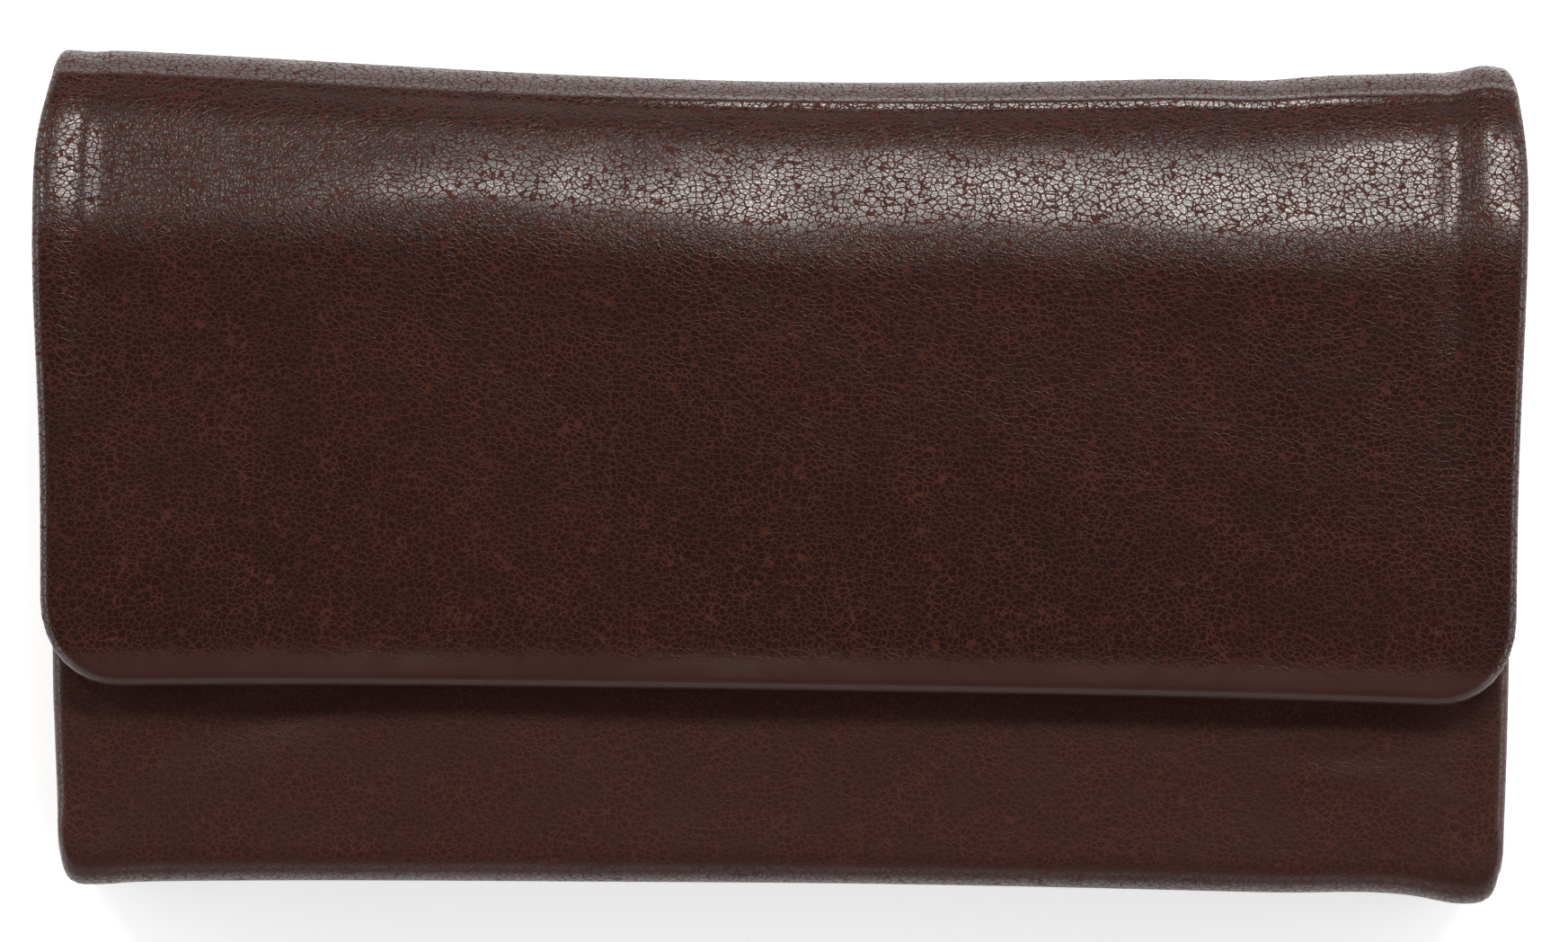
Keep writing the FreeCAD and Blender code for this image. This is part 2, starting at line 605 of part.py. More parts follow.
def make_tray(label, half, low, high, bottom_level, top_level, corner, free_edge_low):
    # cover leather of a padded panel: the face, with the leather turned down round
    # its two sides and its free edge; open towards the fold
    body = new_body(label)
    depth = "(%s - %s)" % (top_level, bottom_level)
    sketch = new_sketch(body, label + "_outline", "XY_Plane", bottom_level)
    add_outline(sketch, rectangle(negative(half), half, low, high))
    add_pad(body, sketch, depth)
    free_edge = value(low) if free_edge_low else value(high)

    def at_free_edge(x, y):
        return abs(y - free_edge) < 0.001

    round_upright_edges(body, corner, at_free_edge)
    inner_half = "(%s - sizes.leather)" % half
    inner_low = "(%s + sizes.leather)" % low if free_edge_low else low
    inner_high = high if free_edge_low else "(%s - sizes.leather)" % high
    chamfer = "(%s / 2)" % corner
    step = "(%s - %s)" % (inner_half, chamfer)
    if free_edge_low:
        corners = [
            (negative(step), inner_low), (step, inner_low),
            (inner_half, "(%s + %s)" % (inner_low, chamfer)), (inner_half, inner_high),
            (negative(inner_half), inner_high),
            (negative(inner_half), "(%s + %s)" % (inner_low, chamfer)),
        ]
    else:
        corners = [
            (negative(inner_half), inner_low), (inner_half, inner_low),
            (inner_half, "(%s - %s)" % (inner_high, chamfer)), (step, inner_high),
            (negative(step), inner_high),
            (negative(inner_half), "(%s - %s)" % (inner_high, chamfer)),
        ]
    sketch = new_sketch(body, label + "_hollow", "XY_Plane", bottom_level)
    add_outline(sketch, corners)
    add_pocket(body, sketch, "(%s - sizes.leather)" % depth, True)


def layer_with_magnet_hole(label, half, low, high, level, thickness):
    body = sheet_of(label, negative(half), half, low, high, level, thickness)
    sketch = new_sketch(body, label + "_magnet_hole", "XY_Plane", level)
    add_circle(sketch, ("0", MAGNET_Y), "sizes.magnet_radius")
    add_pocket(body, sketch, thickness, True)


def make_magnet(label, level, thickness):
    body = new_body(label)
    sketch = new_sketch(body, label + "_disc", "XY_Plane", level)
    add_circle(sketch, ("0", MAGNET_Y), "sizes.magnet_radius")
    add_pad(body, sketch, thickness)


def make_flap():
    make_tray("flap_cover", HALF, FLAP_EDGE, FLAP_START, FLAP_LINING_LOW,
              "sizes.thickness", "sizes.flap_corner", True)
    half = "(%s - sizes.leather - sizes.flap_hem)" % HALF
    low = "(%s + sizes.leather + sizes.flap_hem)" % FLAP_EDGE
    high = "(%s - sizes.soft_zone)" % FLAP_START
    layer_with_magnet_hole("flap_padding", half, low, high, FLAP_PADDING_LOW,
                           "sizes.flap_padding")
    make_magnet("flap_magnet", FLAP_PADDING_LOW, "sizes.flap_padding")
    sheet_of("flap_board", negative(half), half, low, high, FLAP_BOARD_LOW, "sizes.board")
    sheet_of("flap_lining", negative(half), half, low, FLAP_START,
             FLAP_LINING_LOW, "sizes.fabric")
    # on the lining: a slip pocket on the right, a window pocket with its film on the left
    pocket_low = "(%s + sizes.pocket_margin)" % low
    pocket_high = "(%s - sizes.pocket_drop)" % FLAP_START
    sheet_of("flap_slip_pocket", "(sizes.column_gap / 2)", half, pocket_low, pocket_high,
             FLAP_POCKET_LOW, "sizes.thin_leather")
    frame = sheet_of("flap_window_frame", negative(half), "(0 - sizes.column_gap / 2)",
                     pocket_low, pocket_high, FLAP_POCKET_LOW, "sizes.thin_leather")
    border = "sizes.window_border"
    sketch = new_sketch(frame, "window", "XY_Plane", FLAP_POCKET_LOW)
    opening = rectangle("(%s - %s)" % (border, half), "(0 - %s)" % border,
                        "(%s + %s)" % (pocket_low, border), "(%s - %s)" % (pocket_high, border))
    add_outline(sketch, opening)
    add_pocket(frame, sketch, "sizes.thin_leather", True)
    border = "(sizes.window_border + sizes.film_gap)"
    sheet_of("flap_window_film", "(%s - %s)" % (border, half), "(0 - %s)" % border,
             "(%s + %s)" % (pocket_low, border), "(%s - %s)" % (pocket_high, border),
             "(%s - sizes.film - sizes.film_gap / 2)" % FLAP_LINING_LOW, "sizes.film")


def make_front_panel():
    make_tray("front_cover", FRONT_HALF, BACK_BOTTOM, FRONT_EDGE, FRONT_LINING_LOW,
              "sizes.front_level", "sizes.front_corner", False)
    half = "(%s - sizes.leather - sizes.front_hem)" % FRONT_HALF
    high = "(%s - sizes.leather - sizes.front_hem)" % FRONT_EDGE
    low = "(%s + sizes.stiff_zone)" % BACK_BOTTOM
    layer_with_magnet_hole("front_padding", half, low, high, FRONT_PADDING_LOW,
                           "sizes.front_padding")
    make_magnet("front_magnet", FRONT_PADDING_LOW, "sizes.front_padding")
    sheet_of("front_board", negative(half), half, low, high, FRONT_BOARD_LOW, "sizes.board")
    sheet_of("front_lining", negative(half), half, BACK_BOTTOM, high,
             FRONT_LINING_LOW, "sizes.fabric")
    sheet_of("front_slip_pocket", negative(half), half, low,
             "(%s - sizes.front_pocket_drop)" % high, FRONT_POCKET_LOW, "sizes.thin_leather")


# ---------------------------------------------------------------- stitching

def stitch_row(label, start, row, level, length):
    # short stitches in a row along X, lying on the leather
    body = new_body(label)
    sketch = new_sketch(body, label + "_stitch", "XY_Plane", level)
    add_outline(sketch, rectangle(start, "(%s + sizes.stitch_length)" % start,
                                  row, "(%s + sizes.thread)" % row))
    pad = add_pad(body, sketch, "sizes.thread / 2")
    repeat_along_x(body, label, pad, "sizes.stitch_pitch",
                   "floor(%s / sizes.stitch_pitch)" % length)


def make_stitching():
    # along the bottom of the front panel's pocket and of the card slots
    half = "(%s - sizes.leather - sizes.front_hem)" % FRONT_HALF
    start = "(sizes.stitch_margin - %s)" % half
    length = "(2 * %s - 2 * sizes.stitch_margin + sizes.stitch_pitch)" % half
    row = "(%s + sizes.stiff_zone + sizes.stitch_inset)" % BACK_BOTTOM
    level = "(%s - sizes.thread / 2)" % FRONT_POCKET_LOW
    stitch_row("front_pocket_stitching", start, row, level, length)
    start = "(sizes.stitch_margin - sizes.coin_half_width)"
    length = "(2 * sizes.coin_half_width - 2 * sizes.stitch_margin + sizes.stitch_pitch)"
    row = "(%s + sizes.stitch_inset)" % POCKET_BOTTOM
    level = "(%s + %d * sizes.thin_leather)" % (SLOTS_LOW, SLOT_LEVELS)
    stitch_row("card_slot_stitching", start, row, level, length)


make_back_panel()
make_banknote_compartment()
make_coin_pocket()
make_zip_tapes()
make_zip_teeth()
make_zip_ends()
make_zip_slider()
make_zip_pull()
make_card_slots()
make_spines()
make_folds()
make_flap()
make_front_panel()
make_stitching()
doc.recompute()

# ---------------------------------------------------------------- checks and export
for item in doc.Objects:
    if "Invalid" in item.State or "Error" in item.State:
        raise RuntimeError("%s failed: %s" % (item.Label, item.State))

os.makedirs("parts", exist_ok=True)
for part in parts:
    if part.Shape.isNull() or not part.Shape.isValid():
        raise RuntimeError(part.Label + " has no valid shape")
for part in parts:
    box = part.Shape.BoundBox
    print("%-24s %4d solids  x %7.2f %7.2f  y %7.2f %7.2f  z %6.2f %6.2f" % (
        part.Label, len(part.Shape.Solids), box.XMin, box.XMax, box.YMin, box.YMax,
        box.ZMin, box.ZMax))
    part.Shape.exportStep("parts/%s.step" % part.Label)

# fold axes, in the middle of the leather's bend: (y, z) of each
for name, radius, edge_y, edge_z, sign_z in (
    ("top_back", "sizes.fold_radius", TOP, "0", 1),
    ("top_flap", "sizes.flap_fold_radius", TOP, "sizes.thickness", -1),
    ("bottom_back", "sizes.fold_radius", BOTTOM, "0", 1),
    ("bottom_front", "sizes.fold_radius", BOTTOM, "sizes.front_level", -1),
):
    bend = value(radius) - math.pi / 4 * (value(radius) - value("sizes.leather") / 2)
    towards_middle = -1 if value(edge_y) > 0 else 1
    print("%s axis: y %.3f z %.3f" % (
        name, value(edge_y) + towards_middle * bend, value(edge_z) + sign_z * bend))
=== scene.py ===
import math

import bmesh
import bpy
import numpy as np
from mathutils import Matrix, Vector


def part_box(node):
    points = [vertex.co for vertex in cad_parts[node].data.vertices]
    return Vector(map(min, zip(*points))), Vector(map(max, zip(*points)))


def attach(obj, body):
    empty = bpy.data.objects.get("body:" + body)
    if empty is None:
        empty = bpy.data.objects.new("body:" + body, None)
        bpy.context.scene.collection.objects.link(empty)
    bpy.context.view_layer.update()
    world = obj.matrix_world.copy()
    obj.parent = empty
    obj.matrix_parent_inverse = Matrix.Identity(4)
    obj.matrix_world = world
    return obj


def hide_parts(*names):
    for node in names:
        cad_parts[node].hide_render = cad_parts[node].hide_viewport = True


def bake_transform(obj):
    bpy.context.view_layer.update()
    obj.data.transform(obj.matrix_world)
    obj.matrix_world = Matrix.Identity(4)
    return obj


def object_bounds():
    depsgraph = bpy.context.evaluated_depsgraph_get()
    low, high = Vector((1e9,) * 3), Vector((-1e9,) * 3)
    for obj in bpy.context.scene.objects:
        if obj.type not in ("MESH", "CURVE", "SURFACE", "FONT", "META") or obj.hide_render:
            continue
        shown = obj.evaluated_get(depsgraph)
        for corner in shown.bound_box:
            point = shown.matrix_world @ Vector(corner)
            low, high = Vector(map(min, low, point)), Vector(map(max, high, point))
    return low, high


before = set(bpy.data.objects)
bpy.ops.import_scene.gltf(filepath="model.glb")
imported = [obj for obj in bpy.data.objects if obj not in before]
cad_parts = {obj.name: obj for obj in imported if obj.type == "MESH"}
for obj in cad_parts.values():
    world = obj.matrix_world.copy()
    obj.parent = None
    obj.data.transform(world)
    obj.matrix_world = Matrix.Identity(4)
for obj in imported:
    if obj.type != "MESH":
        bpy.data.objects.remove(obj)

# A closed long trifold wallet, lying on its back panel. Lengths in the helpers are in
# millimetres and become metres only where a mesh is made.
CAD_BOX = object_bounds()
MM = 0.001
UV_NAME = "flat"
UV_PER_MM = 0.01


def box_mm(node):
    low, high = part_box(node)
    return [value / MM for value in low], [value / MM for value in high]


def face_size(node):
    low, high = box_mm(node)
    return high[0] - low[0], high[1] - low[1]

# ---------------------------------------------------------------- sizes from the frame
FLAP_LOW, FLAP_HIGH = box_mm("flap_cover")
FRONT_LOW, FRONT_HIGH = box_mm("front_cover")
BACK_LOW, BACK_HIGH = box_mm("back_cover")
TOP_SPINE_LOW, TOP_SPINE_HIGH = box_mm("top_spine_cover")
BOTTOM_SPINE_LOW, BOTTOM_SPINE_HIGH = box_mm("bottom_spine_cover")

FLAP_EDGE_Y, FLAP_FOLD_Y = FLAP_LOW[1], FLAP_HIGH[1]
FLAP_Z = FLAP_HIGH[2]
FRONT_EDGE_Y, FRONT_FOLD_Y = FRONT_HIGH[1], FRONT_LOW[1]
FRONT_Z = FRONT_HIGH[2]
BACK_FOLD_Y = BACK_HIGH[1]
TOP_Y = TOP_SPINE_HIGH[1]
BOTTOM_Y = BOTTOM_SPINE_LOW[1]
SOFT_RADIUS = TOP_Y - FLAP_FOLD_Y
TIGHT_RADIUS = TOP_Y - BACK_FOLD_Y
LEATHER = BACK_HIGH[2]
BACK_LINING_Z = box_mm("back_lining")[0][2]
FLAP_LINING_Z = box_mm("flap_lining")[1][2]
FRONT_LINING_Z = box_mm("front_lining")[1][2]


# ---------------------------------------------------------------- small maths
def smoothstep(low, high, value):
    ratio = np.clip((value - low) / (high - low), 0, 1)
    return ratio * ratio * (3 - 2 * ratio)


def bell(value, centre, width):
    return np.exp(-((value - centre) / width) ** 2)


def ripples(x, y, wavelength, seed, waves=7):
    # smooth irregular ripples between about -1 and 1
    draw = np.random.default_rng(seed)
    total = np.zeros(np.broadcast(x, y).shape)
    for _ in range(waves):
        angle = draw.uniform(0, math.tau)
        stretch = draw.uniform(0.7, 1.5)
        phase = draw.uniform(0, math.tau)
        step = math.tau / (wavelength * stretch)
        total = total + np.sin((x * math.cos(angle) + y * math.sin(angle)) * step + phase)
    return total / math.sqrt(waves * 2)


def same_everywhere(value):
    """A width or height with one value at all the places asked for."""
    return lambda *places: value + 0 * np.asarray(places[-1], float)

# ---------------------------------------------------------------- the developed cover
# The cover is one piece of leather. S is the distance along it from the flap's free edge,
# over the top fold, down the back, round the bottom fold and up to the front's free edge.
SEGMENTS = [
    ("line", FLAP_FOLD_Y - FLAP_EDGE_Y),
    ("arc", SOFT_RADIUS),
    ("line", TOP_SPINE_HIGH[2] - TOP_SPINE_LOW[2]),
    ("arc", TIGHT_RADIUS),
    ("line", BACK_HIGH[1] - BACK_LOW[1]),
    ("arc", TIGHT_RADIUS),
    ("line", BOTTOM_SPINE_HIGH[2] - BOTTOM_SPINE_LOW[2]),
    ("arc", TIGHT_RADIUS),
    ("line", FRONT_EDGE_Y - FRONT_FOLD_Y),
]


def segment_length(kind, size):
    return size if kind == "line" else size * math.pi / 2


STARTS = [0.0]
for kind, size in SEGMENTS:
    STARTS.append(STARTS[-1] + segment_length(kind, size))
FLAP_END, TOP_SPINE_START, TOP_SPINE_END, BACK_START, BACK_END = STARTS[1:6]
BOTTOM_SPINE_START, BOTTOM_SPINE_END, FRONT_START, COVER_END = STARTS[6:]
MID_TOP = (TOP_SPINE_START + TOP_SPINE_END) / 2
MID_BACK = (BACK_START + BACK_END) / 2
MID_BOTTOM = (BOTTOM_SPINE_START + BOTTOM_SPINE_END) / 2


def follow_cover(distance):
    """Point and outward normal (y, z, ny, nz) on the cover's outer face at each S."""
    distance = np.asarray(distance, float)
    result = [np.zeros(distance.shape) for _ in range(4)]
    y, z = FLAP_EDGE_Y, FLAP_Z
    heading = 0.0
    for index, (kind, size) in enumerate(SEGMENTS):
        low = -np.inf if index == 0 else STARTS[index]
        high = np.inf if index == len(SEGMENTS) - 1 else STARTS[index + 1]
        inside = (distance >= low) & (distance <= high)
        along = distance - STARTS[index]
        direction = (math.cos(heading), math.sin(heading))
        normal = (-direction[1], direction[0])
        if kind == "line":
            values = (y + direction[0] * along, z + direction[1] * along,
                      normal[0] + 0 * along, normal[1] + 0 * along)
            y += direction[0] * size
            z += direction[1] * size
        else:
            turned = heading + math.pi / 2 - along / size
            centre = (y - normal[0] * size, z - normal[1] * size)
            values = (centre[0] + size * np.cos(turned), centre[1] + size * np.sin(turned),
                      np.cos(turned), np.sin(turned))
            heading -= math.pi / 2
            y = centre[0] + size * math.cos(heading + math.pi / 2)
            z = centre[1] + size * math.sin(heading + math.pi / 2)
        for target, value in zip(result, values):
            target[inside] = value[inside]
    return result


# Half widths of the cover, left and right of the middle, at distances along it.
LEFT_EDGE = [(0, 91.2), (26, 91.7), (55, 93.1), (66, 93.1), (74, 92.0), (MID_TOP, 91.3),
             (BACK_START, 91.8), (MID_BACK, 91.5), (BACK_END, 89.4), (MID_BOTTOM, 89.0),
             (FRONT_START, 89.3), (FRONT_START + 22, 90.3), (COVER_END, 90.5)]
RIGHT_EDGE = [(0, 92.1), (26, 92.1), (55, 92.8), (66, 92.9), (74, 92.3), (MID_TOP, 91.3),
              (BACK_START, 91.8), (MID_BACK, 91.8), (BACK_END, 91.2), (MID_BOTTOM, 90.9),
              (FRONT_START, 91.4), (FRONT_START + 22, 91.8), (COVER_END, 91.5)]


def edge_at(table, distance):
    """Smooth curve through a short table, with the slope eased at every point."""
    places = np.array([row[0] for row in table])
    widths = np.array([row[1] for row in table])
    slopes = np.gradient(widths, places)
    spot = np.clip(np.searchsorted(places, distance) - 1, 0, len(places) - 2)
    step = places[spot + 1] - places[spot]
    part = np.clip((distance - places[spot]) / step, 0, 1)
    start, end = widths[spot], widths[spot + 1]
    first, last = slopes[spot] * step, slopes[spot + 1] * step
    return ((2 * part ** 3 - 3 * part ** 2 + 1) * start + (part ** 3 - 2 * part ** 2 + part) * first
            + (3 * part ** 2 - 2 * part ** 3) * end + (part ** 3 - part ** 2) * last)


# The folds are drawn in at the middle of the width and stand out at the corners. The upper
# part of the flap leans over, more and more steeply, into the soft top fold.
TOP_DIP, BOTTOM_DIP = 2.7, 1.1
TOP_SHIFT, BOTTOM_SHIFT = 0.3, 1.75
CORNER_RADIUS = 2.8
TOP_DIP_START, BOTTOM_DIP_START = 33, 34
FLAP_REACH, CORNER_REACH, REACH_START = 0.85, 0.75, -8
LEANS = ((24.2, 32.6, 0.345), (32.6, 42.0, 0.17), (41.2, 44.0, 0.25))
LEVEL_ABOVE = FLAP_LINING_Z - 2


def lean(y):
    """How far the flap has sunk at y: its steepness grows, then the fold takes over."""
    sunk = 0
    for start, peak, steepest in LEANS:
        growing = np.clip(y, start, peak) - start
        fading = np.clip(y, peak, TOP_Y) - peak
        reach, rest = peak - start, TOP_Y - peak
        sunk = sunk + steepest * (growing ** 2 / (2 * reach) + fading - fading ** 2 / (2 * rest))
    return sunk


def warp(x, y, z):
    """Moves points of all soft pieces together, so that layers keep their order."""
    dip_top = TOP_DIP * np.cos(np.clip((x - 2) / 87, -1, 1) * math.pi / 2) ** 1.3
    dip_bottom = BOTTOM_DIP * np.cos(np.clip((x - 4) / 86, -1, 1) * math.pi / 2) ** 0.6
    dip_top = dip_top + TOP_SHIFT + 0.55 * bell(x, 60, 7) + 0.2 * bell(x, 76, 9)
    dip_top = dip_top - 0.4 * bell(x, 88, 4)
    drawn_y = y - dip_top * smoothstep(TOP_DIP_START, TOP_Y, y)
    to_side = np.where(x < 0, edge_at(LEFT_EDGE, MID_BOTTOM) + x, edge_at(RIGHT_EDGE, MID_BOTTOM) - x)
    turning = np.clip(1 - to_side / CORNER_RADIUS, 0, 1)
    rounding = CORNER_RADIUS * (1 - np.sqrt(1 - turning ** 2))
    ears = 0.25 * bell(x, -86, 4) + 0.6 * bell(x, 86, 4) - 0.45 * bell(x, 75, 8)
    lift = dip_bottom + np.minimum(rounding, 2.6) - BOTTOM_SHIFT - ears
    lift = lift - 0.2 * smoothstep(20, -30, x)
    drawn_y = drawn_y + lift * smoothstep(BOTTOM_DIP_START, -BOTTOM_Y, -y)
    reach = FLAP_REACH + CORNER_REACH * np.clip(np.abs(x) / 85, 0, 1) ** 3
    of_flap = smoothstep(FRONT_Z + 0.6, FRONT_Z + 1.2, z)
    drawn_y = drawn_y - reach * smoothstep(REACH_START, FLAP_EDGE_Y + 1, y) * of_flap
    sway = 1.2 * np.sin(x / 27 + 0.6) + 0.6 * np.sin(x / 11 + 2)
    level_below = 16 - 11 * smoothstep(31, 36, y)
    part = smoothstep(0, 1, (z - level_below) / (LEVEL_ABOVE - level_below))
    return x, drawn_y, z - lean(y + sway * bell(y, 32, 10)) * part


# ---------------------------------------------------------------- meshes
def add_mesh(name, points, faces, uvs, sharp=()):
    mesh = bpy.data.meshes.new(name)
    mesh.from_pydata([tuple(point) for point in np.asarray(points) * MM], [], faces)
    mesh.polygons.foreach_set("use_smooth", [True] * len(mesh.polygons))
    layer = mesh.uv_layers.new(name=UV_NAME)
    loops = np.empty(len(mesh.loops), dtype=np.int32)
    mesh.loops.foreach_get("vertex_index", loops)
    layer.data.foreach_set("uv", (np.asarray(uvs)[loops] * UV_PER_MM).ravel())
    if sharp:
        wanted = {frozenset(edge) for edge in sharp}
        flags = [frozenset(edge.vertices) in wanted for edge in mesh.edges]
        mesh.attributes.new("sharp_edge", "BOOLEAN", "EDGE").data.foreach_set("value", flags)
    mesh.validate()
    mesh.update()
    piece = bpy.data.objects.new(name, mesh)
    bpy.context.scene.collection.objects.link(piece)
    return piece


def outward_normals(grid_x, grid_s, chain, closed, cut_ends):
    """Normals, in the flat (x, S) plane, of the boundary that the chain walks along."""
    xs = np.array([grid_x[spot] for spot in chain])
    ss = np.array([grid_s[spot] for spot in chain])
    if closed:
        tangent_x = np.roll(xs, -1) - np.roll(xs, 1)
        tangent_s = np.roll(ss, -1) - np.roll(ss, 1)
    else:
        tangent_x = np.gradient(xs)
        tangent_s = np.gradient(ss)
    length = np.hypot(tangent_x, tangent_s)
    normal_x, normal_s = tangent_s / length, -tangent_x / length
    middle_x, middle_s = grid_x.mean(), grid_s.mean()
    if np.sum(normal_x * (xs - middle_x) + normal_s * (ss - middle_s)) < 0:
        normal_x, normal_s = -normal_x, -normal_s
    for end in cut_ends:
        normal_x[end], normal_s[end] = math.copysign(1, xs[end] - middle_x), 0
    return normal_x, normal_s


def row_distances(spread, rows, radius, free_start, free_end):
    """Even rows along a sheet, closer together where a free end's corners are round."""
    if not radius:
        return np.linspace(0, 1, rows) * spread
    turn = 1 - np.cos(np.linspace(0, math.pi / 2, 9))
    before = turn * radius if free_start else np.zeros(0)
    after = spread - turn[::-1] * radius if free_end else np.zeros(0)
    low = before[-1] if free_start else 0.0
    high = after[0] if free_end else spread
    middle = np.linspace(low, high, rows)
    return np.unique(np.round(np.concatenate([before, middle, after]), 6))

def two_faces(count, columns, forwards):
    """Quads of a sheet's upper and lower face, which look away from each other."""
    faces = []
    for layer in (0, count * columns):
        for row in range(count - 1):
            base = layer + row * columns
            for column in range(columns - 1):
                quad = (base + column, base + column + 1,
                        base + column + columns + 1, base + column + columns)
                faces.append(quad if (layer == 0) == forwards else quad[::-1])
    return faces

def rim_chains(count, columns, free_start, free_end):
    """Where the rounded rim runs: chains of (row, column), whether closed, and cut ends."""
    left_side = [(row, 0) for row in range(count)]
    right_side = [(row, columns - 1) for row in range(count)]
    if free_start and free_end:
        top_edge = [(count - 1, column) for column in range(1, columns - 1)]
        bottom_edge = [(0, column) for column in range(columns - 2, 0, -1)]
        return [(left_side + top_edge + right_side[::-1] + bottom_edge, True, ())]
    if free_start:
        edge = [(0, column) for column in range(1, columns - 1)]
        return [(left_side[::-1] + edge + right_side, False, (0, -1))]
    return [(left_side, False, ()), (right_side, False, ())]

def build_sheet(name, place, start, end, left, right, top, bottom, corner=0.0,
                free_start=True, free_end=True, columns=120, rows=60, rings=8, fine=None):
    """A closed sheet of leather or cloth with rounded edges.

    place(x, s, height) gives points; start and end are distances S, left(s) and right(s)
    half widths, top(x, s) and bottom(x, s) the heights of its two faces. A free end has
    rounded corners and edges, the other ends are cut square so the next piece can follow.
    A stretch of S that needs close rows is given as fine=(from, to, rows).
    """
    sign = 1 if end > start else -1

    def edge_half(s):
        return (top(right(s), s) - bottom(right(s), s)) / 2

    inset_start = float(edge_half(np.array([start]))[0]) if free_start else 0.0
    inset_end = float(edge_half(np.array([end]))[0]) if free_end else 0.0
    first, last = start + sign * inset_start, end - sign * inset_end
    spread = abs(last - first)
    radius = max(corner - inset_start, 0.01) if corner else 0.0
    along = row_distances(spread, rows, radius, free_start, free_end)
    if fine:
        low, high, extra = fine
        outside = (first + sign * along < low) | (first + sign * along > high)
        close = np.abs(np.linspace(low, high, extra) - first)
        along = np.sort(np.concatenate([along[outside], close]))
    s_values = first + sign * along
    half = edge_half(s_values)
    left_values = left(s_values) - half
    right_values = right(s_values) - half
    if radius:
        for is_free, gap in ((free_start, along), (free_end, spread - along)):
            if is_free:
                inside = np.clip(radius - gap, 0, radius)
                shrink = radius - np.sqrt(np.maximum(radius ** 2 - inside ** 2, 0))
                left_values = left_values - shrink
                right_values = right_values - shrink
    across = np.linspace(0, 1, columns)
    grid_x = -left_values[:, None] + (left_values + right_values)[:, None] * across[None, :]
    grid_s = np.repeat(s_values[:, None], columns, axis=1)
    count, size = len(s_values), grid_x.size
    points = [np.stack([grid_x.ravel(), grid_s.ravel(), face(grid_x, grid_s).ravel()], 1)
              for face in (top, bottom)]
    uvs = [points[0][:, :2], points[1][:, :2] + [0, 400]]
    faces = two_faces(count, columns, sign > 0)
    offset = 2 * size
    sharp, ring_ends = [], {}
    for chain, closed, cut_ends in rim_chains(count, columns, free_start, free_end):
        if not cut_ends and not closed:
            side = -1.0 if chain[0][1] == 0 else 1.0
            normal_x, normal_s = np.full(len(chain), side), np.zeros(len(chain))
        else:
            normal_x, normal_s = outward_normals(grid_x, grid_s, chain, closed, cut_ends)
        spots = np.array([row * columns + column for row, column in chain])
        xs, ss = points[0][spots, 0], points[0][spots, 1]
        tops, bottoms = points[0][spots, 2], points[1][spots, 2]
        middle, half_chain = (tops + bottoms) / 2, (tops - bottoms) / 2
        levels = [spots]
        for ring in range(1, rings):
            angle = math.pi * ring / rings
            out = half_chain * math.sin(angle)
            points.append(np.stack([xs + normal_x * out, ss + normal_s * out,
                                    middle + half_chain * math.cos(angle)], 1))
            arc = half_chain * angle
            uvs.append(np.stack([xs + normal_x * arc, ss + normal_s * arc], 1))
            levels.append(np.arange(offset, offset + len(chain)))
            offset += len(chain)
        levels.append(spots + size)
        links = len(chain) if closed else len(chain) - 1
        for upper, lower in zip(levels, levels[1:]):
            for link in range(links):
                following = (link + 1) % len(chain)
                faces.append((int(upper[link]), int(upper[following]),
                              int(lower[following]), int(lower[link])))
        if not closed:
            for end_index in (0, -1):
                ring_ends[chain[end_index]] = [int(level[end_index]) for level in levels]
    for row in [row for row, is_free in ((count - 1, free_end), (0, free_start)) if not is_free]:
        upper = [row * columns + column for column in range(columns)]
        lower = [spot + size for spot in upper]
        loop = (upper + ring_ends[(row, columns - 1)][1:-1]
                + lower[::-1] + ring_ends[(row, 0)][1:-1][::-1])
        for column in range(columns - 1):
            faces.append((upper[column], upper[column + 1], lower[column + 1], lower[column]))
        faces.append(tuple(ring_ends[(row, 0)]))
        faces.append(tuple(ring_ends[(row, columns - 1)]))
        sharp += list(zip(loop, loop[1:] + loop[:1]))
    flat = np.concatenate(points)
    placed = np.stack(place(flat[:, 0], flat[:, 1], flat[:, 2]), 1)
    piece = add_mesh(name, placed, faces, np.concatenate(uvs), sharp)
    recalculate_normals(piece)
    return piece

def recalculate_normals(piece):
    work = bmesh.new()
    work.from_mesh(piece.data)
    bmesh.ops.recalc_face_normals(work, faces=work.faces)
    work.to_mesh(piece.data)
    work.free()


def finish(piece, material, nodes, body=None, fold=None):
    """Gives a piece its material, hangs it on the body that carries it or, for a piece on a fold, only
    bakes its placement, and hides the CAD nodes it replaces.
    """
    piece.data.materials.append(material)
    if fold:
        blend_fold(piece)
    else:
        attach(piece, body)
    if nodes:
        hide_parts(*nodes)

# ---------------------------------------------------------------- cover pieces
HEM_BEAD, HEM_VALLEY, HEM_WIDTH = 0.04, 0.14, 4.6
DENT_START = FRONT_START + 16.0
RIDGE_AT = FLAP_END + 5.0


def thickness_between(distance):
    """Cover thickness away from its edges: padded panels are thick, folds are one leather."""
    flap = FLAP_Z - FLAP_LINING_Z
    front = FRONT_Z - FRONT_LINING_Z
    thick = flap + (LEATHER - flap) * smoothstep(FLAP_END - 12, FLAP_END + 4, distance)
    back = smoothstep(BACK_START - 2, BACK_START + 3, distance)
    back = back * smoothstep(BACK_END + 2, BACK_END - 3, distance)
    thick = thick + (BACK_LINING_Z - LEATHER) * back
    return thick + (front - LEATHER) * smoothstep(FRONT_START - 3, FRONT_START + 5, distance)


